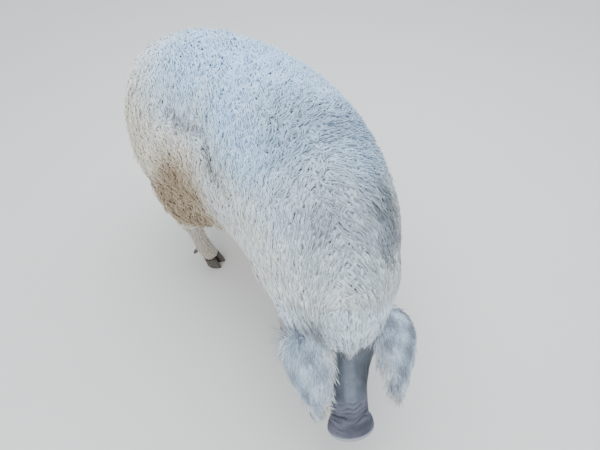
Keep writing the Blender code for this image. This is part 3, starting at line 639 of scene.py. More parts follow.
def coat_depth(points):
    """From the skin to the tips of the full coat, less the core. It is less on the head and on the left of
    the neck, where the bend stretches it, and more on the ham and under the right ear's root."""
    s, left, _, _ = on_spine(points)
    near, _ = on_legs(points)
    core = np.where(near < LEG_REACH, step(*CORE_HEIGHTS, points[:, 2]), 1.0)
    stretched = step(0.84, 0.93, s) * step(0.03, 0.09, left)
    forward, out, up = in_head(points).T
    gathered = -(((forward - 0.015) / 0.045) ** 2) - ((out + 0.10) / 0.040) ** 2 - ((up - 0.01) / 0.06) ** 2
    depth = COAT_DEPTH - CORE_DEPTH * core - 0.006 * near_head(points) + 0.022 * np.exp(gathered)
    return depth + 0.012 * folds(points)[2] - 0.011 * stretched


def calmed(points):
    """How far the coat lies finer and smoother: 1 on the head and 0 behind the withers."""
    return np.maximum(step(0.80, 0.98, on_spine(points)[0]), near_head(points))


# The fold down the right side, from loin to elbow: distance along the spine and height
FOLD = ((0.265, 0.745), (0.320, 0.716), (0.445, 0.713), (0.525, 0.645), (0.670, 0.611), (0.700, 0.560))
FOLD_REACH = 0.018      # from the skin to where the coat shows the fold
# Height under which the right side is soiled, by distance along the spine
SOIL_LINE = (
    (0.00, 0.50), (0.13, 0.58), (0.265, 0.69), (0.34, 0.70), (0.445, 0.66), (0.525, 0.56), (0.62, 0.40),
)


def folds(points):
    """Shares on the right side: painted shade in the fold's parting, shorter coat above it, and soil under
    it.
    """
    s, left, _, _ = on_spine(points)
    wide = drift(points, 0.10, 6)
    right = step(0.03, 0.08, -left)
    line, soil_line = (np.interp(s, *zip(*rows)) for rows in (FOLD, SOIL_LINE))
    away = points[:, 2] - line + 0.016 * wide[:, 0]
    ends = right * step(0.20, 0.28, s) * (1.0 - step(0.62, 0.72, s)) * (0.85 + 0.35 * wide[:, 1])
    # Painted shade in the crease along the fold
    fold_shade = ends * hump(away + 0.002, 0.015)
    short = ends * hump(away - 0.022, 0.036)
    deep = soil_line - points[:, 2] + 0.030 * wide[:, 2]
    soil = right * step(-0.05, 0.15, deep) * (1.0 - step(0.38, 0.64, s)) * step(0.22, 0.36, points[:, 2])
    return np.clip(fold_shade, 0.0, 1.0), np.clip(short, 0.0, 1.0), soil


def furrows(points):
    """Wrinkles across the bridge of the snout, 0 in a crease and 1 between two, and where they are."""
    forward, out, _ = in_head(points).T
    uneven = drift(points, 0.026, 9)
    wobble = 0.003 * np.sin(out * 75.0) + 0.012 * uneven[:, 0] + 2.4 * out**2
    rise = np.abs(np.sin(math.pi * (forward + wobble) / 0.0155)) ** 0.6
    rise = 1.0 - (1.0 - rise) * np.clip(0.85 + 1.5 * uneven[:, 1], 0.15, 1.0)
    return rise, step(0.262, 0.310, forward) * (1.0 - step(0.374, 0.386, forward))


# Soiled places: distance along the spine, side step, height, reach and amount
SOILED = (
    (0.04, -0.10, 0.42, 0.110, 0.60),
    (0.07, -0.15, 0.63, 0.110, 0.24),
    (0.10, 0.20, 0.44, 0.130, 0.75),
    (0.24, 0.21, 0.40, 0.110, 0.55),
    (0.72, 0.18, 0.36, 0.100, 0.35),
    (0.72, -0.18, 0.34, 0.090, 0.30),
)
# By distance along the spine: the height from which the coat takes the painted blue of sky light, and how
# much of it the back takes
SKY_TINT_HEIGHT = ((0.10, 0.56), (0.40, 0.51), (0.65, 0.38), (0.90, 0.30))
SKY_TINT_AMOUNT = ((0.02, 0.20), (0.14, 0.75), (0.30, 1.0), (0.70, 0.95), (0.85, 0.65), (1.00, 0.50))
# The mottled grey patch on the left shoulder, partly painted shade on the side turned from the light and
# partly soiled wool: distance along the spine, side step and height, and its reaches
DIM_AT = (0.915, 0.125, 0.63)
DIM_REACH = (0.11, 0.065, 0.13)


def soil_marks(points, normals, s, left, head, tan):
    """How far the coat is soiled: in its set places, low on the legs, under the belly and on the ham."""
    soil = np.zeros(len(points))
    for at, side, height, reach, amount in SOILED:
        gap = np.sqrt((s - at) ** 2 + (left - side) ** 2 + (points[:, 2] - height) ** 2)
        soil = np.maximum(soil, amount * hump(gap, reach))
    soil = np.maximum(soil, 0.22 * (1.0 - step(0.08, 0.30, points[:, 2])))
    soil = np.maximum(soil, 0.30 * step(0.5, 0.9, -normals[:, 2])) * (1.0 - head)
    return np.maximum(soil, tan)


def sky_tint_marks(points, normals, s, head, tan, wide, blotch):
    """How far the coat takes the painted blue of sky light falling from above: most on the back and on faces
    turned up, a little on the sides, and evenly on the head.
    """
    above = points[:, 2] - np.interp(s, *zip(*SKY_TINT_HEIGHT)) + 0.05 * wide[:, 2]
    cool = step(0.0, 0.30, above) * step(0.0, 0.80, normals[:, 2])
    cool = cool * (1.0 + 0.25 * wide[:, 1] + 0.15 * blotch[:, 1])
    cool = cool * np.interp(s, *zip(*SKY_TINT_AMOUNT))
    cool = np.maximum(cool, 0.30 * step(0.30, 0.50, s) * (1.0 - tan))
    return np.where(head > 0.5, 0.55, cool)


def face_shade_marks(points, forward, out, up, blotch):
    """How much painted shade the face takes: on its sides beside the lit ridge, in the wrinkles, and in the
    crease behind the disc's rim; and how much darker the snout's top is, mottled.
    """
    # Painted shade on the face's sides, beside the lit ridge
    muzzle = 0.74 * step(0.006, 0.022, np.abs(out)) + 0.26 * step(0.024, 0.045, np.abs(out))
    muzzle = muzzle * (0.80 + 0.55 * blotch[:, 0]) * (1.0 - 0.5 * step(0.26, 0.30, forward))
    rise, bridge = furrows(points)
    # Painted shade in the wrinkle band and the creases across the bridge
    dark = hump(forward - 0.342 + 2.0 * out**2, 0.015) * (0.75 + 0.5 * blotch[:, 2])
    creased = 0.14 + 0.80 * (1.0 - rise) ** 0.7 + 1.0 * dark
    muzzle = np.maximum(muzzle, bridge * creased * step(-0.02, 0.01, up))
    # Painted shade in the crease behind the disc's rim
    muzzle = np.maximum(muzzle, 0.80 * hump(forward - 0.383 + 1.2 * out**2, 0.0035))
    return np.maximum(muzzle, step(0.350, 0.364, forward) * np.clip(0.86 + 1.2 * blotch[:, 0], 0.35, 0.97))


def dim_marks(points, s, left, wide, blotch):
    """How far the wool is greyer, partly as painted shade and partly as greyer soiled wool: in the patch on
    the left shoulder, and unevenly on the fore back.
    """
    place = np.stack((s, left, points[:, 2]), 1)
    gap = (((place - DIM_AT) / DIM_REACH) ** 2).sum(1)
    patch = np.clip(1.45 * np.exp(-gap) * (0.90 + 0.9 * blotch[:, 2]), 0.0, 1.0)
    fore = step(0.46, 0.66, s) * (1.0 - 0.75 * step(1.00, 1.08, s)) * step(-0.16, -0.04, left)
    return np.maximum(patch, fore * np.clip(0.40 + 0.40 * wide[:, 0] + 0.22 * blotch[:, 1], 0.0, 1.0))


def marks(points, normals):
    """The coat's and skin's markings, as shares: slate, soil, the painted blue of sky light on the back, and
    light, lower where shade is painted.
    Where it is slate, the second is the mauve of the snout and the third is the pale rim of its disc."""
    forward, out, up = in_head(points).T
    s, left, _, _ = on_spine(points)
    blotch, wide = drift(points, 0.05, 3), drift(points, 0.16, 4)
    head = near_head(points)
    # Painted shade in the fold, and the soil under it
    fold_shade, _, tan = folds(points + normals * FOLD_REACH)
    slate = head * step(0.085, 0.130, forward + 0.012 * blotch[:, 0])
    patch = ((forward - 0.012) / 0.034) ** 2 + ((out + 0.074) / 0.024) ** 2
    slate = np.maximum(slate, 0.62 * head * np.exp(-patch) * step(0.05, 0.09, up))
    soil = soil_marks(points, normals, s, left, head, tan)
    soil = np.clip(soil * (1.0 + 0.30 * wide[:, 0] + 0.25 * blotch[:, 1]), 0.0, 1.0)
    # Painted sky light: the blue-white that falls on the back and on faces turned up
    cool = sky_tint_marks(points, normals, s, head, tan, wide, blotch)
    muzzle = face_shade_marks(points, forward, out, up, blotch)
    # Painted shade, with greyer wool, on the left shoulder and the fore back
    dim = dim_marks(points, s, left, wide, blotch)
    shade = np.where(head > 0.5, muzzle * slate, np.maximum(fold_shade, dim))
    snout = step(0.26, 0.33, forward + 0.01 * blotch[:, 1])
    edge = 1.0 - (out / 0.064) ** 2 - ((up - 0.003) / 0.054) ** 2
    rim = step(0.388, 0.395, forward) * (1.0 - step(0.16, 0.34, edge))
    green = soil * (1.0 - slate) + snout * slate
    blue = np.clip(cool * (1.0 - soil), 0.0, 1.0) * np.sqrt(1.0 - slate) + rim * slate
    return np.stack((slate, green, blue, 1.0 - 0.8 * shade * (1.0 - rim)), 1)


# The coat's step forward for each step outwards, by distance along the spine, on each side of it
RIGHT_SWEEP = ((0.00, -0.10), (0.12, 0.00), (0.30, 0.50), (0.60, 0.65), (0.80, 0.95), (0.95, 1.80))
LEFT_SWEEP = (
    (0.00, -0.50), (0.15, -0.85), (0.45, -0.80), (0.60, -0.45), (0.72, 0.05), (0.85, 0.75), (0.95, 1.80),
)


def lie(points, normals):
    """The way that the coat lies: out from the spine and down, ahead over the poll, down the legs."""
    s, left, _, ahead = on_spine(points)
    forward, out, up = in_head(points).T
    bent = drift(points, 0.14, 1)
    sideways = np.stack((-ahead[:, 1], ahead[:, 0], np.zeros(len(ahead))), 1)
    side = np.sign(left + 0.030 * rng.normal(size=len(left)) + 0.02 * bent[:, 0])
    sweep = np.where(side > 0, np.interp(s, *zip(*LEFT_SWEEP)), np.interp(s, *zip(*RIGHT_SWEEP)))
    down = np.array((0.0, 0.0, -1.0))
    rump = 1.0 - step(0.03, 0.16, s)
    ways = ahead * (sweep - 0.4 * rump)[:, None] + sideways * side[:, None]
    ways = ways + down * (0.85 * np.clip(np.abs(left) / 0.17, 0.0, 1.0) ** 1.5 + rump)[:, None]
    near, _ = on_legs(points)
    on_leg = ((near < 1.5) * (1.0 - step(0.30, 0.44, points[:, 2])))[:, None]
    ways = ways * (1.0 - on_leg) + on_leg * (down - 0.15 * ahead)
    head = near_head(points)[:, None]
    head_ahead, head_up, head_left = np.array(HEAD_AHEAD), np.array(HEAD_UP), np.array(HEAD_LEFT)
    forelock = head_ahead - 0.35 * np.clip(out / 0.1, -1, 1)[:, None] * head_left
    cheek = (1.0 - step(0.00, 0.06, up))[:, None]
    hang = forelock * (1.0 - cheek) + cheek * (0.10 * head_ahead - 0.9 * head_up)
    ways = ways * (1.0 - head) + head * hang
    face = step(0.12, 0.16, forward)[:, None] * head
    ways = ways * (1.0 - face) + face * (-0.8 * head_ahead - 0.35 * head_up)
    ways = ways + (0.40 * bent + 0.22 * drift(points, 0.06, 2)) * (1.0 - 0.6 * calmed(points))[:, None]
    ways -= normals * (ways * normals).sum(1)[:, None]
    return ways / np.linalg.norm(ways, axis=1)[:, None]


# Coat

def scattered(skin, spacing, wanted):
    """Places spread evenly over the part of the skin where wanted(places, normals) is true."""
    mesh = skin.data
    mesh.calc_loop_triangles()
    corners = np.empty(len(mesh.loop_triangles) * 3, dtype=np.int32)
    mesh.loop_triangles.foreach_get("vertices", corners)
    verts = places_of(skin)
    a, b, c = verts[corners.reshape(-1, 3)].transpose(1, 0, 2)
    normal = np.cross(b - a, c - a)
    size = np.linalg.norm(normal, axis=1)
    area = size * 0.5
    tried = 5.0             # places tried for each that is kept
    count = int(area.sum() / spacing**2 * tried)
    pick = rng.choice(len(area), count, p=area / area.sum())
    r, q = np.sqrt(rng.random(count)), rng.random(count)
    points = a[pick] * (1 - r)[:, None] + b[pick] * (r * (1 - q))[:, None] + c[pick] * (r * q)[:, None]
    normals = normal[pick] / np.maximum(size[pick], 1e-12)[:, None]
    good = wanted(points, normals)
    points, normals = points[good], normals[good]
    kept, cells = [], {}
    for i, key in enumerate(np.floor(points / spacing).astype(int).tolist()):
        px, py, pz = points[i]
        near = (
            points[k]
            for x in (-1, 0, 1) for y in (-1, 0, 1) for z in (-1, 0, 1)
            for k in cells.get((key[0] + x, key[1] + y, key[2] + z), ())
        )
        if all(abs(qx - px) + abs(qy - py) + abs(qz - pz) > spacing for qx, qy, qz in near):
            cells.setdefault(tuple(key), []).append(i)
            kept.append(i)
    return points[kept], normals[kept]


def laid(tree, roots, ways, lengths, steps):
    """Lines that follow the skin from each root: their places, and the ways out from the skin and along."""
    places, outs, alongs = (np.empty((len(roots), steps, 3)) for _ in range(3))
    for i, (root, way, length) in enumerate(zip(roots, ways, lengths)):
        here, along = Vector(root), Vector(way)
        for k in range(steps):
            place, out, _, _ = tree.find_nearest(here)
            along = (along - out * along.dot(out)).normalized()
            places[i, k], outs[i, k], alongs[i, k] = place, out, along
            here = place + along * (length / (steps - 1))
    return places, outs, alongs


def unit(vectors):
    """The vectors, each with a length of one."""
    return vectors / np.maximum(np.linalg.norm(vectors, axis=-1, keepdims=True), 1e-9)


def tuft_faces(steps):
    """One tuft's faces, by vertex number, and their corners' places on its patch of the UV map."""
    last = (steps - 1) * 3
    faces, corners = [], []
    for k in range(steps - 2):
        for j in range(3):
            n = (j + 1) % 3
            faces.append((k * 3 + j, k * 3 + 3 + j, k * 3 + 3 + n, k * 3 + n))
            corners += [(j / 3, k), (j / 3, k + 1), ((j + 1) / 3, k + 1), ((j + 1) / 3, k)]
    for j in range(3):
        n = (j + 1) % 3
        faces.append(((steps - 2) * 3 + j, last, (steps - 2) * 3 + n))
        corners += [(j / 3, steps - 2), ((j + 0.5) / 3, steps - 1), ((j + 1) / 3, steps - 2)]
    faces.append((0, 1, 2))
    corners += [(0.1, 0.1), (0.5, 0.1), (0.9, 0.1)]
    return faces, np.array(corners) / (1.0, steps - 1)


def tuft_verts(middles, overs, widths, thick):
    """The vertices of each tuft: rings of three along its middle line, and its tip."""
    along = unit(np.gradient(middles, axis=1))
    across = unit(np.cross(along, overs))
    over = np.cross(across, along)
    rings = []
    for j in range(3):
        turn = math.tau * j / 3 + math.pi / 2
        arm = across * math.cos(turn) + over * math.sin(turn) * thick
        rings.append(middles[:, :-1] + arm[:, :-1] * widths[:, :-1, None])
    verts = np.stack(rings, 2).reshape(len(middles), -1, 3)
    return np.concatenate((verts, middles[:, -1:]), 1)


def tuft_mesh(name, middles, overs, widths, thick, marked, places, tones):
    """Closed three-sided tufts, one for each row of middles, as one mesh with its markings and UV map."""
    count, steps, _ = middles.shape
    verts = tuft_verts(middles, overs, widths, thick)
    per = verts.shape[1]
    faces, corners = tuft_faces(steps)
    loops = (np.arange(count)[:, None] * per + np.concatenate([np.array(face) for face in faces])).ravel()
    sizes = np.tile([len(face) for face in faces], count)
    starts = np.concatenate(((0,), np.cumsum(sizes)[:-1]))
    mesh = bpy.data.meshes.new(name)
    mesh.vertices.add(count * per)
    mesh.vertices.foreach_set("co", verts.ravel())
    mesh.loops.add(len(loops))
    mesh.loops.foreach_set("vertex_index", loops.astype(np.int32))
    mesh.polygons.add(len(sizes))
    mesh.polygons.foreach_set("loop_start", starts.astype(np.int32))
    mesh.polygons.foreach_set("use_smooth", np.ones(len(sizes), dtype=bool))
    uv = places[:, None] + (corners[None] - 0.5) * PATCH
    layer = mesh.uv_layers.new(name="OFBake")
    layer.data.foreach_set("uv", np.clip(uv, 0.0, 1.0).ravel())
    marking = mesh.attributes.new("marks", "FLOAT_COLOR", "POINT")
    marking.data.foreach_set("color", np.repeat(marked, per, axis=0).ravel())
    strand = np.zeros((count, per, 3))
    strand[:, :, 0] = np.concatenate((np.repeat(np.linspace(0.0, 1.0, steps)[:-1], 3), (1.0,)))
    strand[:, :, 1] = tones[:, None]
    layer = mesh.attributes.new("strand", "FLOAT_VECTOR", "POINT")
    layer.data.foreach_set("vector", strand.ravel())
    mesh.update(calc_edges=True)
    mesh.validate()
    thing = bpy.data.objects.new(name, mesh)
    bpy.context.scene.collection.objects.link(thing)
    return thing


def turned(up, side):
    """The way round from the side to up, as a share of the whole turn."""
    return (np.arctan2(up, side) + math.pi) / math.tau


def unwrapped(points):
    """Each place on an unwrap of the skin: the trunk's sheet below, then head and legs above."""
    s, _, level, _ = on_spine(points)
    forward, out, up = in_head(points).T
    near, leg = on_legs(points)
    round_trunk = (level + math.pi) / math.tau
    trunk = np.stack((0.02 + 0.96 * np.clip(s / 1.10, 0, 1), 0.02 + 0.60 * round_trunk), 1)
    head = np.stack((0.02 + 0.34 * np.clip(forward / 0.40, 0, 1), 0.66 + 0.32 * turned(up, out)), 1)
    around = np.zeros(len(points))
    for i, (rows, ahead, side) in enumerate(LEGS.values()):
        x, y = (np.interp(points[:, 2], rows[:, 0], rows[:, k]) for k in (1, 2))
        arm = points[:, :2] - np.stack((x, y), 1)
        around = np.where(leg == i, turned(arm @ side, arm @ ahead), around)
    low = np.stack((0.40 + 0.15 * leg + 0.13 * around, 0.66 + 0.32 * points[:, 2] / 0.45), 1)
    made = np.where((forward > 0.0)[:, None], head, trunk)
    return np.where(((near < LEG_REACH) & (points[:, 2] < 0.42) & (forward < 0.0))[:, None], low, made)


def wave(share, turns, phase):
    """Side and outward swing of a lock along its length, growing from the root."""
    turn = math.tau * (turns[:, None] * share[None] + phase[:, None])
    grow = np.sqrt(share)[None]
    return np.sin(turn) * grow, np.cos(turn) * grow


def wool(name, tree, points, normals, finish, sizes):
    """Wavy locks, each of some tufts that draw together at their tips, split into pieces."""
    steps = 8
    share = np.linspace(0.0, 1.0, steps)
    order = np.argsort(on_spine(points)[0])
    points, normals = points[order], normals[order]
    size, calm, shaggy = coat_share(points, normals), calmed(points), folds(points)[2]
    loose = 0.12 - 0.08 * calm + 0.25 * shaggy
    ways = unit(lie(points, normals) + loose[:, None] * rng.normal(size=points.shape))
    lengths = sizes["length"] * size**0.7 * rng.uniform(0.78, 1.15, len(points))
    roots = points - ways * (0.42 * lengths)[:, None]
    places, outs, alongs = laid(tree, roots, ways, lengths, steps)
    sides = np.cross(outs, alongs)
    count = len(points)
    turns = lengths / sizes["wave"] * rng.uniform(0.92, 1.08, count)
    # Neighbouring locks wave together, so the coat is crimped in rows
    phase = 2.0 * drift(points, 0.09, 8)[:, 0] + 0.12 * rng.random(count)
    depth = coat_depth(points) * size * rng.uniform(0.80, 1.0, count)
    swings = sizes["swing"] * size * (1.0 - 0.6 * calm + 0.5 * shaggy)
    rise = np.interp(share, (0.0, 0.17, 0.36, 0.70, 1.0), (0.0, 0.60, 0.90, 1.0, 0.92))
    slim = np.interp(share, (0.0, 0.2, 0.55, 0.85, 1.0), (0.7, 1.0, 0.95, 0.55, 0.0))
    marked, spots = marks(points, normals), unwrapped(points)
    tone = rng.normal(0.0, 1.0, count)
    middles, widths, tones = [], [], []
    for _ in range(sizes["tufts"]):
        swing, heave = wave(share, turns, phase + rng.normal(0.0, 0.05, count))
        apart = (sizes["spread"] * (1.0 - 0.60 * share))[None] * (size**0.5)[:, None]
        aside = rng.uniform(-1.0, 1.0, count)[:, None] * apart + swing * swings[:, None]
        stray = 0.008 * (rng.random(count) < 0.08) * (1.0 - calm)
        uneven = rng.uniform(-0.5, 0.3, count) * (1.0 - 0.6 * calm)
        lift = rise[None] * depth[:, None] + uneven[:, None] * apart * share
        lift = lift + heave * 0.7 * swings[:, None] + stray[:, None] * share**2
        shift = rng.uniform(-0.012, 0.012, count) * size
        middle = places + sides * aside[:, :, None] + outs * np.maximum(lift, -0.0015)[:, :, None]
        middles.append(middle + alongs * shift[:, None, None])
        thickness = sizes["width"] * size**0.4 * (1.0 - 0.35 * calm) * rng.uniform(0.7, 1.15, count)
        widths.append(slim[None] * thickness[:, None])
        tones.append(tone * 0.6 + rng.normal(0.0, 0.5, count))
    tufts = (np.stack(rows, 1) for rows in (middles, widths, tones))
    in_pieces(name, *tufts, (outs, marked, spots), finish)


def in_pieces(name, middles, widths, tones, shared, finish):
    """Makes the locks' tufts into pieces. What is shared is told once for a lock."""
    count, many, steps = widths.shape
    per_piece = PIECE_TUFTS // many
    for k in range(0, count, per_piece):
        part = slice(k, k + per_piece)
        outs, marked, spots = (np.repeat(rows[part], many, axis=0) for rows in shared)
        made = tuft_mesh(
            f"{name}_{k // per_piece + 1}", middles[part].reshape(-1, steps, 3), outs,
            widths[part].reshape(-1, steps), 0.45, marked, spots, tones[part].ravel(),
        )
        dress(made, finish)


def curls(name, tree, points, normals, finish):
    """Short flat curls that cross under the locks, so that no skin shows between them."""
    size = coat_share(points, normals)
    ways = rng.normal(size=points.shape)
    ways = unit(ways - normals * (ways * normals).sum(1)[:, None])
    ways = ways + (0.8 + 2.2 * calmed(points))[:, None] * lie(points, normals)
    lengths = 0.038 * size**0.35 * rng.uniform(0.8, 1.2, len(points))
    kept = [0, 1, 3]
    roots = points - unit(ways) * (0.42 * lengths)[:, None]
    places, outs, alongs = (rows[:, kept] for rows in laid(tree, roots, unit(ways), lengths, 4))
    depth = coat_depth(points) * size * (rng.uniform(0.64, 0.86, len(points)) + 0.04 * calmed(points))
    lift = np.outer(depth, (0.0, 0.92, 1.0)) - (0.001, 0.0, 0.0)
    bend = np.outer(rng.normal(0.0, 0.005, len(points)), (0.0, 0.0, 1.0))
    middles = places + outs * lift[:, :, None] + np.cross(outs, alongs) * bend[:, :, None]
    widths = np.outer(0.0076 * size**0.15 * rng.uniform(0.85, 1.15, len(points)), (0.6, 1.0, 0.0))
    # A little darker than the locks: painted shade in the gaps between them
    tones = rng.normal(-0.3, 0.6, len(points))
    made = tuft_mesh(name, middles, outs, widths, 0.5, marks(points, normals), unwrapped(points), tones)
    dress(made, finish)


def short_hair(name, tree, points, normals, finish, sizes):
    """Single short tufts that lie close, where the coat is short."""
    steps = 4
    share = np.linspace(0.0, 1.0, steps)
    size = coat_share(points, normals)
    ways = unit(lie(points, normals) + 0.25 * rng.normal(size=points.shape))
    lengths = np.clip(sizes["length"] * size, *sizes["limits"]) * rng.uniform(0.7, 1.2, len(points))
    places, outs, alongs = laid(tree, points, ways, lengths, steps)
    sides = np.cross(outs, alongs)
    swing, _ = wave(share, np.full(len(points), 0.7), rng.random(len(points)))
    lift = np.outer(lengths * sizes["lift"] * rng.uniform(0.5, 1.2, len(points)), share**0.8) - 0.0006
    swing = 0.07 * swing * lengths[:, None]
    middles = places + outs * lift[:, :, None] + sides * swing[:, :, None]
    slim = np.interp(share, (0, 0.35, 1.0), (0.8, 1.0, 0.0))
    wide = np.clip(sizes["width"] * size**0.5, 0.0005, 1.0) * rng.uniform(0.7, 1.2, len(points))
    tones = rng.normal(0.0, 0.8, len(points))
    widths = np.outer(wide, slim)
    made = tuft_mesh(name, middles, outs, widths, 0.5, marks(points, normals), unwrapped(points), tones)
    dress(made, finish)


def ear_place(i, side, outwards):
    """Where hair i of an ear stands: its shares along and across, and its face, 1 outside and -1 in the cup.
    Nothing where the cup stays bare."""
    t = 0.04 + 0.94 * rng.random()
    u = rng.uniform(-1.0, 1.0)
    if side < 0 and i < RUFF_HAIRS:
        t, u = 0.04 + 0.34 * rng.random(), math.copysign(rng.uniform(0.25, 1.0), outwards)
    face = 1.0 if rng.random() < 0.78 else -1.0
    if face < 0 and abs(u) < 0.45 and rng.random() < 0.6:
        return None
    return t, u, face


def ear_axes(t, u, face, side):
    """A place on an ear, and the ways along the ear and out from it there."""
    root, ahead = ear_point(t, u, face, side), ear_point(min(t + 0.03, 1.03), u, face, side)
    beside = ear_point(t, min(u + 0.05, 1.0), face, side) - ear_point(t, max(u - 0.05, -1.0), face, side)
    facing = ear_section(t, side)[2]
    along = (ahead - root).normalized()
    out = along.cross(beside).normalized()
    return root, along, out if out.dot(facing) * face > 0 else -out


def ear_hair(side, word, finish):
    """Hair on the outside of an ear, over its rims and past its tip, with a little in its cup."""
    count, steps = EAR_HAIRS + RUFF_HAIRS * (side < 0), 4
    share = np.linspace(0.0, 1.0, steps)
    middles, outs, widths, spots, kept = [], [], [], [], []
    outwards = ear_section(0.2, side)[1].dot(HEAD_LEFT) * side
    for i in range(count):
        stands = ear_place(i, side, outwards)
        if stands is None:
            continue
        t, u, face = stands
        _, across, facing = ear_section(t, side)
        root, along, out = ear_axes(t, u, face, side)
        length = rng.uniform(0.026, 0.040) * (0.75 + 0.5 * t)
        outer = u * math.copysign(1.0, across.dot(HEAD_LEFT) * side)
        ruff = max(outer - 0.25, 0.0) * max(0.52 - abs(t - 0.22), 0.0) * (1.0 if side > 0 else 2.4)
        ruff += 0.6 * max(-outer - 0.5, 0.0) * (side > 0)
        back = float(step(0.10, 0.60, outer) * (1.0 - step(0.20, 0.40, t))) * (side < 0)
        trimmed = 1.0 - 0.5 * (side > 0) * float(1.0 - step(0.08, 0.26, t))
        length *= (1.0 + ruff + 1.2 * back) * trimmed
        way = along * (1.0 - 1.5 * back) + across * u * (0.45 + 0.8 * ruff) * abs(u)
        way = way + Vector(rng.normal(size=3) * 0.16)
        way = (way - out * way.dot(out)).normalized()
        lift = rng.uniform(0.05, 0.17) if face > 0 else rng.uniform(0.05, 0.12)
        sway = across * rng.uniform(-0.10, 0.10)
        line = []
        for k in share:
            bend = out * (lift * k - 0.10 * k * k) - facing * (0.12 * k * k if t > 0.8 else 0.0)
            line.append(root - out * 0.0008 + (way * k + bend + sway * math.sin(5.0 * k)) * length)
        middles.append(line)
        outs.append([out] * steps)
        widths.append(np.array((0.8, 1.0, 0.7, 0.0)) * rng.uniform(0.0011, 0.0019) * (1.0 + 0.5 * back))
        spots.append((0.40 + 0.28 * (side < 0) + 0.26 * t, 0.66 + 0.32 * (u * face + 1.0) / 2.0))
        kept.append((t, outer, face))
    middles, outs, widths, spots = (np.array(rows) for rows in (middles, outs, widths, spots))
    t, outer, face = np.array(kept).T
    marked = ear_marks(t, outer, face, side)
    tones = rng.normal(0.0, 0.8, len(t))
    made = tuft_mesh("hair_ear_" + word, middles, outs, widths, 0.5, marked, spots, tones)
    dress(made, finish)


def ear_marks(t, u, face, side):
    """An ear's markings: slate at its root and in its cup, the painted blue of sky light in blotches, white
    on its rims and tip, and painted shade in its cup and in streaks along it. The left ear is greyer, most of
    all its outer rim, where u is near 1, as painted shade."""
    slate = 0.30 * (1.0 - u**4) + 0.32 * (1.0 - step(0.04, 0.24, t)) - 0.22 * step(0.8, 1.0, t)
    slate = np.where(face > 0, slate, 0.45)
    blotch = 0.5 + 0.28 * np.sin(11.0 * t + 4.0 * u + side) + 0.22 * np.sin(23.0 * t - 7.0 * u + 2.0 * side)
    streak_shade = hump(np.abs(u) - 0.45 * (1.0 - t), 0.10) * (face > 0)
    # Painted shade in streaks along the ear and in its cup
    light = 1.0 - 0.8 * (0.16 * streak_shade * blotch + 0.20 * (face < 0))
    # Painted shade: the left ear greyer, most on its outer rim
    slate = slate + (side > 0) * (0.10 + 0.40 * step(0.35, 0.85, u) * (1.0 - step(0.6, 0.9, t)))
    slate = np.clip((slate + 0.04 + 0.05 * (side > 0)) * (3.1 * blotch - 0.50), 0.0, 1.0)
    cool = 0.95 - 0.55 * u**4 - 0.35 * step(0.75, 1.0, t) - 0.35 * (1.0 - blotch)
    return np.stack((slate, 0.04 * blotch, np.clip(cool, 0.0, 1.0), light), 1)


def tail_hair(finish):
    """Short hair down the tail, and the long tuft at its end."""
    line = tail_points(TAIL_STEPS + 1)
    steps = 5
    share = np.linspace(0.0, 1.0, steps)
    middles, outs, widths, heights = [], [], [], []
    for _ in range(TAIL_HAIRS):
        at = rng.uniform(0.12, 1.0) ** 0.8
        k = min(int(at * TAIL_STEPS), TAIL_STEPS - 1)
        along = (line[k + 1] - line[k]).normalized()
        arm = Vector(rng.normal(size=3))
        arm = (arm - along * arm.dot(along)).normalized()
        radius = TAIL_RADIUS[0] + (TAIL_RADIUS[1] - TAIL_RADIUS[0]) * at
        end = max(at - 0.72, 0.0) / 0.28
        length = rng.uniform(0.016, 0.026) + 0.075 * end * rng.uniform(0.6, 1.0)
        root = line[k].lerp(line[k + 1], at * TAIL_STEPS - k) + arm * (radius - 0.001)
        lean = rng.uniform(0.20, 0.40) * (1.0 - 0.4 * end)
        droop = Vector((0, 0, -0.25 * end))
        wavy = along.cross(arm) * rng.uniform(-0.08, 0.08)
        hair_line = []
        for q in share:
            bend = arm * lean * q * (1 - 0.4 * q) + droop * q * q + wavy * math.sin(6 * q)
            hair_line.append(root + (along * q + bend) * length)
        middles.append(hair_line)
        outs.append([arm] * steps)
        widths.append(np.array((0.8, 1.0, 0.9, 0.6, 0.0)) * rng.uniform(0.0012, 0.0020))
        heights.append(at)
    middles, outs, widths, heights = (np.array(rows) for rows in (middles, outs, widths, heights))
    roots = middles[:, 0]
    spots = np.stack((0.02 + 0.3 * heights, 0.63 + 0.02 * rng.random(len(heights))), 1)
    tones = rng.normal(0, 0.8, len(roots))
    made = tuft_mesh("hair_tail", middles, outs, widths, 0.5, marks(roots, outs[:, 0]), spots, tones)
    dress(made, finish)


# Materials

def colour(text):
    """An sRGB hex colour as linear numbers."""
    values = [int(text[i:i + 2], 16) / 255.0 for i in (1, 3, 5)]
    return (*(v / 12.92 if v <= 0.04045 else ((v + 0.055) / 1.055) ** 2.4 for v in values), 1.0)


def feed(tree, node, inputs):
    """Sets a node's inputs, each to a value or to another node's output."""
    for key, value in inputs.items():
        if isinstance(value, bpy.types.NodeSocket):
            tree.links.new(value, node.inputs[key])
        else:
            node.inputs[key].default_value = value


def add(tree, kind, inputs=(), **settings):
    """Adds a node with its inputs and settings."""
    made = tree.nodes.new(kind)
    for key, value in settings.items():
        setattr(made, key, value)
    feed(tree, made, dict(inputs))
    return made


def new_material(name):
    """A material, its nodes' tree and its shader."""
    made = bpy.data.materials.new(name)
    made.use_nodes = True
    return made, made.node_tree, made.node_tree.nodes["Principled BSDF"]


def blended(tree, share, first, second):
    """Mixes two colours by a share."""
    return add(tree, "ShaderNodeMix", {0: share, 6: first, 7: second}, data_type="RGBA").outputs[2]


def maths(tree, operation, *values):
    """The outcome of a sum on one to three values."""
    return add(tree, "ShaderNodeMath", dict(enumerate(values)), operation=operation).outputs[0]


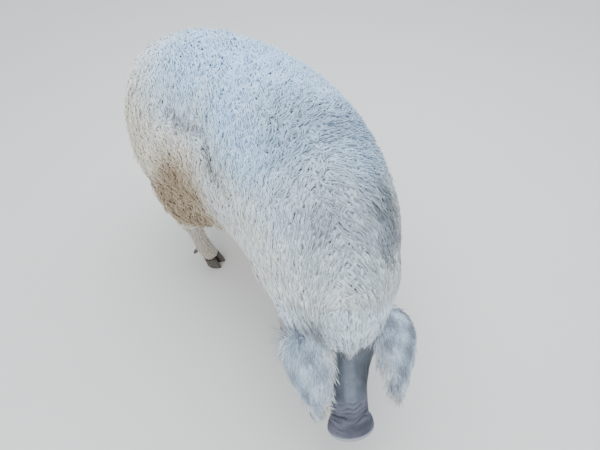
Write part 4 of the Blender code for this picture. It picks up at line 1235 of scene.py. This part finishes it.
def spanned(tree, value, low, high, first=0.0, last=1.0):
    """A value from low to high, as one from first to last."""
    return add(tree, "ShaderNodeMapRange", {0: value, 1: low, 2: high, 3: first, 4: last}).outputs[0]


def own_place(tree):
    """The place on the piece, in metres."""
    return add(tree, "ShaderNodeTexCoord").outputs["Object"]


def mottled(tree, place, scale, detail, roughness=0.5):
    """Soft noise from 0 to 1."""
    inputs = {"Vector": place, "Scale": scale, "Detail": detail, "Roughness": roughness}
    return add(tree, "ShaderNodeTexNoise", inputs).outputs[0]


def markings(tree):
    """What marks() says at each place: slate, soil, the painted blue of sky light, and light, lower where
    shade is painted.
    """
    marking = add(tree, "ShaderNodeAttribute", attribute_name="marks")
    parts = add(tree, "ShaderNodeSeparateColor", {0: marking.outputs["Color"]})
    return (*parts.outputs, marking.outputs["Alpha"])


def wool_material(name, root, tip, soiled):
    """Sheep-like pig's wool: scaly keratin fibre in clumps, so matte, with a soft sheen at the edges.
    Cream at the tips, yellower towards the skin and darker there as painted shade deep in the coat, browner
    where it is soiled; bluer white where sky light is painted on, and dark grey where shade is painted on."""
    made, tree, shader = new_material(name)
    slate, soil, cool, light = markings(tree)
    strand = add(tree, "ShaderNodeAttribute", attribute_name="strand")
    values = add(tree, "ShaderNodeSeparateXYZ", {0: strand.outputs["Vector"]})
    height = spanned(tree, values.outputs[0], 0.0, 0.55)
    base = blended(tree, height, colour(root), colour(tip))
    # Painted sky light: bluer white where the marks say cool
    base = blended(tree, cool, base, blended(tree, height, colour("#ADC7E2"), colour("#C1E3FF")))
    dirt = blended(tree, height, colour("#86725D"), colour(soiled))
    base = blended(tree, maths(tree, "MULTIPLY", soil, 0.94), base, dirt)
    base = blended(tree, slate, base, blended(tree, height, colour("#5E6876"), colour("#8D98A9")))
    # Painted shade: towards dark grey where the marks' light is low, in the fold, on the left shoulder and on
    # the fore back
    base = blended(tree, light, colour("#545D66"), base)
    # Clumps of fibre about 6 mm across catch dust unevenly
    dust = maths(tree, "SUBTRACT", mottled(tree, own_place(tree), 160.0, 3.0), 0.5)
    tone = maths(tree, "MULTIPLY_ADD", values.outputs[1], 0.045, 1.0)
    value = maths(tree, "ADD", tone, maths(tree, "MULTIPLY", dust, 0.14))
    tint = add(tree, "ShaderNodeHueSaturation", {"Color": base, "Value": value})
    feed(tree, shader, {
        "Base Color": tint.outputs[0], "Roughness": 0.75, "Specular IOR Level": 0.3,
        "Sheen Weight": 0.3, "Sheen Roughness": 0.5, "IOR": 1.55,
    })
    return made


def skin_material():
    """Living pig skin: pale and pinkish under the wool, slate grey and finely creased on the face.
    The creases are a few millimetres apart, the pores about one. The snout is mauve, its disc's rim pale.
    Painted shade darkens the face's sides, its wrinkles and the fold, and painted sky light makes the skin
    bluer where the marks say cool."""
    made, tree, shader = new_material("pig skin")
    slate, soil, cool, light = markings(tree)
    place = own_place(tree)
    mottle = mottled(tree, place, 45.0, 5.0, 0.62)
    pale = blended(tree, mottle, colour("#A39587"), colour("#C9BBAC"))
    pale = blended(tree, soil, pale, colour("#8A735E"))
    # Painted sky light: bluer where the marks say cool
    pale = blended(tree, cool, pale, colour("#C4D1DC"))
    grey = blended(tree, mottle, colour("#5C6774"), colour("#8E9AAA"))
    grey = blended(tree, soil, grey, blended(tree, mottle, colour("#636275"), colour("#908EA2")))
    grey = blended(tree, cool, grey, colour("#A6AAB4"))
    base = blended(tree, slate, pale, grey)
    # Painted shade: towards dark slate where the marks' light is low, on the face's sides, in its wrinkles,
    # behind the disc's rim and in the fold
    base = blended(tree, light, colour("#2E343E"), base)
    cells = add(tree, "ShaderNodeTexVoronoi", {"Vector": place, "Scale": 330.0}, feature="DISTANCE_TO_EDGE")
    crease = mottled(tree, place, 210.0, 4.0)
    edge = spanned(tree, cells.outputs[0], 0.0, 0.12)
    relief = maths(tree, "ADD", maths(tree, "MULTIPLY", edge, 0.5), crease)
    bump = add(tree, "ShaderNodeBump", {"Strength": 0.55, "Distance": 0.0011, "Height": relief})
    # Darker along the edges of the fine creases
    crease_darkening = maths(tree, "MULTIPLY", maths(tree, "SUBTRACT", 1.0, edge), 0.30)
    feed(tree, shader, {
        "Base Color": blended(tree, crease_darkening, base, colour("#3D434C")), "Normal": bump.outputs[0],
        "Roughness": spanned(tree, crease, 0.3, 0.7, 0.46, 0.62), "IOR": 1.42,
    })
    return made


def horn_material():
    """Pig's hoof horn: dark keratin, satin, with growth rings about 3 mm apart and dusty scuffs."""
    made, tree, shader = new_material("hoof horn")
    place = own_place(tree)
    bent = mottled(tree, place, 60.0, 3.0)
    height = add(tree, "ShaderNodeSeparateXYZ", {0: place}).outputs[2]
    along = maths(tree, "MULTIPLY", height, 2100.0)
    rings = maths(tree, "SINE", maths(tree, "ADD", along, maths(tree, "MULTIPLY", bent, 5.0)))
    dust = mottled(tree, place, 190.0, 6.0, 0.7)
    scuff = spanned(tree, dust, 0.46, 0.66)
    base = blended(tree, bent, colour("#2B2724"), colour("#4A423B"))
    base = blended(tree, maths(tree, "MULTIPLY", scuff, 0.6), base, colour("#8C8071"))
    relief = maths(tree, "ADD", rings, dust)
    bump = add(tree, "ShaderNodeBump", {"Strength": 0.35, "Distance": 0.0008, "Height": relief})
    feed(tree, shader, {
        "Base Color": base, "Normal": bump.outputs[0],
        "Roughness": spanned(tree, scuff, 0.0, 1.0, 0.36, 0.68), "IOR": 1.55,
    })
    return made


def eye_material():
    """A pig's eye: wet cornea over a dark brown iris, with a thin reddish white at its rim."""
    made, tree, shader = new_material("wet eye")
    gaze = add(tree, "ShaderNodeAttribute", attribute_name="gaze")
    ramp = add(tree, "ShaderNodeValToRGB", {0: gaze.outputs["Fac"]})
    stops = ramp.color_ramp.elements
    stops[0].color = colour("#050404")
    stops[1].color = colour("#A08A7C")
    # Pupil, iris, its dark rim and the white, by the angle from the gaze as a share of a right angle
    for at, shade in (
        (0.20, "#060404"), (0.24, "#33200F"), (0.46, "#4A2E17"), (0.50, "#171009"), (0.56, "#8B7264"),
    ):
        stops.new(at).color = colour(shade)
    feed(tree, shader, {"Base Color": ramp.outputs[0], "Roughness": 0.06, "IOR": 1.376, "Coat Weight": 0.6})
    return made


def dress(thing, finish):
    """Gives a piece its material and its body."""
    thing.data.materials.clear()
    thing.data.materials.append(finish)
    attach(thing, "root")


# Horn and eyes

def make_hoof(name, word, side, finish):
    """One hoof of a foot: narrow in front, flat below, with a rounded sole edge."""
    table, stand, out = FEET[name]
    centre, left, ahead, *_ = leg_ring(name)(table[0][2] - table[-1][2])
    rows = 26

    def place(row, angle):
        share = min(max((row - 1) / (rows - 2), 0.0), 1.0)
        at = share * (len(HOOF) - 1)
        i = min(int(at), len(HOOF) - 2)
        height, forward, long_, wide = (a + (b - a) * (at - i) for a, b in zip(HOOF[i], HOOF[i + 1]))
        middle = centre + left * side * HOOF_SPREAD + ahead * forward
        middle.z = height if row else HOOF[0][0]
        if row in (0, rows):
            middle.z = HOOF[0][0] if row == 0 else 0.0003
            return middle
        nose = 1.0 - 0.28 * max(math.sin(angle), 0.0)
        return middle + left * wide * math.cos(angle) * nose + ahead * long_ * math.sin(angle)

    node = f"hoof_{name}_{word}"
    made = drawn_sphere("horn_" + node, 28, rows, place)
    finish_horn(made, node, finish)


def make_dewclaw(name, word, side, finish):
    """A small claw behind the foot, bent down and ending in a blunt point."""
    table = FEET[name][0]
    centre, left, ahead, *_ = leg_ring(name)(table[0][2] - table[-1][2] - (DEWCLAW_TOP - HOOF[0][0]))
    rows = 20

    def place(row, angle):
        t = row / rows
        back = 0.012 + 0.044 * t - 0.016 * t * t
        middle = centre + left * side * (DEWCLAW_SPREAD + 0.004 * t) - ahead * back
        middle.z = DEWCLAW_TOP - DEWCLAW_LENGTH * t
        radius = DEWCLAW_RADIUS * min(1.0, 0.8 + 0.5 * t) * math.sqrt(max(1.0 - t**5, 0.0)) * (row > 0)
        drop = Vector((0, 0, 1)) * 0.55 - ahead * 0.6
        return middle + (left * math.cos(angle) + drop.normalized() * math.sin(angle) * 0.8) * radius * 0.86

    node = f"dewclaw_{name}_{word}"
    made = drawn_sphere("horn_" + node, 20, rows, place)
    finish_horn(made, node, finish)


def finish_horn(made, node, finish):
    """Smooths a claw, but for its sole's edge, and puts it in its solid's place."""
    keep_active(made)
    bpy.ops.object.shade_smooth_by_angle(angle=math.radians(50))
    dress(made, finish)
    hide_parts(node)


def make_eye(side, word, finish):
    """An eyeball with a cornea that stands a little proud."""
    centre = head_place(*EYE_PLACE, side)
    look = head_aim(0.42, 0.80, 0.42, side)
    bpy.ops.object.select_all(action="DESELECT")
    bpy.ops.mesh.primitive_uv_sphere_add(segments=48, ring_count=32, radius=EYE_RADIUS * 0.965)
    eye = bpy.context.object
    eye.name = "eyeball_" + word
    gaze = eye.data.attributes.new("gaze", "FLOAT", "POINT")
    for i, vert in enumerate(eye.data.vertices):
        away = vert.co.normalized().angle(look)
        gaze.data[i].value = away / (math.pi / 2)
        vert.co = centre + vert.co * (1.0 + 0.035 * math.exp(-((away / 0.5) ** 2)))
    bpy.ops.object.shade_smooth()
    dress(eye, finish)
    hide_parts("eye_" + word)


def lashes(finish):
    """Pale lashes along each upper lid."""
    middles, outs, widths = [], [], []
    for side in (1, -1):
        centre, look, along, over = lid_axes(side)
        over = over if over.dot(HEAD_UP) > 0 else -over
        for i in range(LASHES):
            turn = math.radians(28 + 124 * i / (LASHES - 1))
            aside = along * math.cos(turn)
            root = centre + aside * 0.0155 + over * math.sin(turn) * 0.0098 + look * 0.0100
            way = look * 0.9 + over * 0.15 + aside * 0.5 + Vector(rng.normal(size=3) * 0.07)
            way = way.normalized()
            length = rng.uniform(0.012, 0.018)
            share = np.linspace(0, 1, 5)
            middles.append([root + way * length * q - over * 0.35 * length * q * q for q in share])
            outs.append([over] * 5)
            widths.append(np.array((0.9, 1.0, 0.8, 0.5, 0.0)) * 0.00045)
    middles, outs, widths = (np.array(rows) for rows in (middles, outs, widths))
    # A little slate and soil, and some painted blue of sky light
    marked = np.tile((0.1, 0.1, 0.4, 1.0), (len(middles), 1))
    spots = np.tile((0.38, 0.64), (len(middles), 1)) + rng.random((len(middles), 2)) * 0.01
    made = tuft_mesh("lashes", middles, outs, widths, 0.8, marked, spots, np.zeros(len(middles)))
    dress(made, finish)


# Stage

# Name, place, aim, size, power in watts and colour of each lamp
LIGHTS = (
    ("overhead", (-0.3, 0.5, 2.6), (0.0, 0.0, 0.4), 2.4, 70.0, "#F4F8FF"),
    ("side", (1.6, -2.2, 1.7), (0.0, 0.0, 0.4), 1.8, 26.0, "#FFF6EA"),
)
SKY = ("#DCE4ED", 1.56)     # colour and strength
# The photograph's camera: place, turn in degrees, and lens in mm for a sensor of 36 mm
CAMERA = ((0.8053, -0.5609, 1.4500), (41.213, 1.624, 50.146), 27.06)


def lay_floor():
    """A plain pale floor."""
    bpy.ops.object.select_all(action="DESELECT")
    bpy.ops.mesh.primitive_grid_add(x_subdivisions=4, y_subdivisions=4, size=14.0, location=(0, 0, -0.0005))
    floor = bpy.context.object
    floor.name = "floor"
    made, tree, shader = new_material("pale studio floor")
    grain = mottled(tree, own_place(tree), 3.0, 2.0)
    base = blended(tree, grain, colour("#DFDDD8"), colour("#E3E1DC"))
    feed(tree, shader, {"Base Color": base, "Roughness": 0.9})
    floor.data.materials.append(made)


def set_stage():
    """The floor, soft studio light, and the photograph's camera."""
    lay_floor()
    for name, place, aim, size, power, shade in LIGHTS:
        data = bpy.data.lights.new(name, "AREA")
        data.size = size
        data.energy = power
        data.color = colour(shade)[:3]
        light = bpy.data.objects.new(name, data)
        light.location = place
        light.rotation_euler = (Vector(aim) - Vector(place)).to_track_quat("-Z", "Y").to_euler()
        bpy.context.scene.collection.objects.link(light)
    world = bpy.data.worlds.new("studio")
    world.use_nodes = True
    shade, strength = SKY
    feed(world.node_tree, world.node_tree.nodes["Background"], {0: colour(shade), 1: strength})
    bpy.context.scene.world = world
    place, turn, lens = CAMERA
    data = bpy.data.cameras.new("camera")
    data.sensor_width = 36.0
    data.lens = lens
    camera = bpy.data.objects.new("camera", data)
    camera.location = place
    camera.rotation_euler = tuple(math.radians(angle) for angle in turn)
    bpy.context.scene.collection.objects.link(camera)
    bpy.context.scene.camera = camera


# Making

cream = wool_material("cream wool", "#CFC9BA", "#F3EEDF", "#B39E80")
hair = wool_material("short pig hair", "#BDB6A9", "#EFECE4", "#BFB199")
skin_finish = skin_material()
horn = horn_material()
wet = eye_material()

skin, ear_tree = make_skin()


def off_ears(points, gap):
    """Which points are further than the gap from both ears."""
    return np.array([ear_tree.find_nearest(Vector(point), gap)[0] is None for point in points])


def from_places(points, place):
    """Each point's distance to a place on the head, on its own side or the other, whichever is nearer."""
    sides = [np.linalg.norm(points - np.array(head_place(*place, side)), axis=1) for side in (1, -1)]
    return np.minimum(*sides)


def finish_skin(finish):
    """Gives the skin its markings, and puts it in the place of the flesh's solids."""
    points = places_of(skin)
    found = marks(points, normals_of(skin))
    # Ear skin: a little slate, and the full painted blue of sky light
    found[~off_ears(points, 0.003)] = (0.25, 0.0, 1.0, 1.0)
    marking = skin.data.attributes.new("marks", "FLOAT_COLOR", "POINT")
    marking.data.foreach_set("color", found.ravel())
    dress(skin, finish)
    flesh = ["head", "neck", "torso_fore", "torso_rear", "tail", "ear_left", "ear_right"]
    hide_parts(*flesh, *("leg_" + name for name in FEET))


def for_wool(points, normals):
    """Which points carry locks and curls."""
    good = coat_share(points, normals) > WOOL_FROM
    good[good] = off_ears(points[good], 0.004)
    return good


def for_hair(points, normals):
    """Which points carry short hair: not the snout's disc, the soles' edge, the lids or the ears."""
    share = coat_share(points, normals)
    forward = in_head(points)[:, 0]
    good = (share < HAIR_TO) & ((forward < 0.366) | (near_head(points) < 0.5)) & (points[:, 2] > 0.046)
    good &= from_places(points, EYE_PLACE) > 0.024
    good[good] = off_ears(points[good], 0.003)
    return good


def full_coat(finish):
    """Locks and curls, where the coat is long."""
    roots, outward = scattered(skin, LOCK_SPACING, for_wool)
    wool("wool", skin_tree, roots, outward, finish, {
        "length": LOCK_LENGTH, "tufts": TUFTS_IN_LOCK, "wave": 0.034,
        "swing": 0.0056, "spread": 0.0088, "width": 0.0024,
    })
    roots, outward = scattered(skin, CURL_SPACING, for_wool)
    curls("under_wool", skin_tree, roots, outward, finish)


def short_coat(finish):
    """Short hair on the face and legs, and longer soft hair round the ears' roots."""
    roots, outward = scattered(skin, HAIR_SPACING, for_hair)
    on_head = near_head(roots) > 0.5
    ear_base = on_head & (from_places(roots, EAR_ROOT) < EAR_BASE)
    on_face = on_head & ~ear_base
    ear_base &= in_head(roots)[:, 1] < 0.105
    for name, good, length, lift, width, limits, slot in (
        ("hair_face", on_face, 0.085, 0.20, 0.0019, (0.007, 0.05), "face"),
        ("hair_ear_base", ear_base, 0.20, 0.26, 0.0040, (0.018, 0.034), "ear"),
        ("hair_legs", ~on_head, 0.110, 0.26, 0.0028, (0.007, 0.05), "leg"),
    ):
        sizes = {"length": length, "lift": lift, "width": width, "limits": limits}
        short_hair(name, skin_tree, roots[good], outward[good], finish, sizes)


finish_skin(skin_finish)
skin_tree = tree_of([skin])
full_coat(cream)
short_coat(hair)
ear_hair(1, "left", hair)
ear_hair(-1, "right", hair)
tail_hair(cream)
lashes(hair)
for foot in FEET:
    for side, word in ((-1, "right"), (1, "left")):
        make_hoof(foot, word, side, horn)
        make_dewclaw(foot, word, side, horn)
make_eye(1, "left", wet)
make_eye(-1, "right", wet)
set_stage()
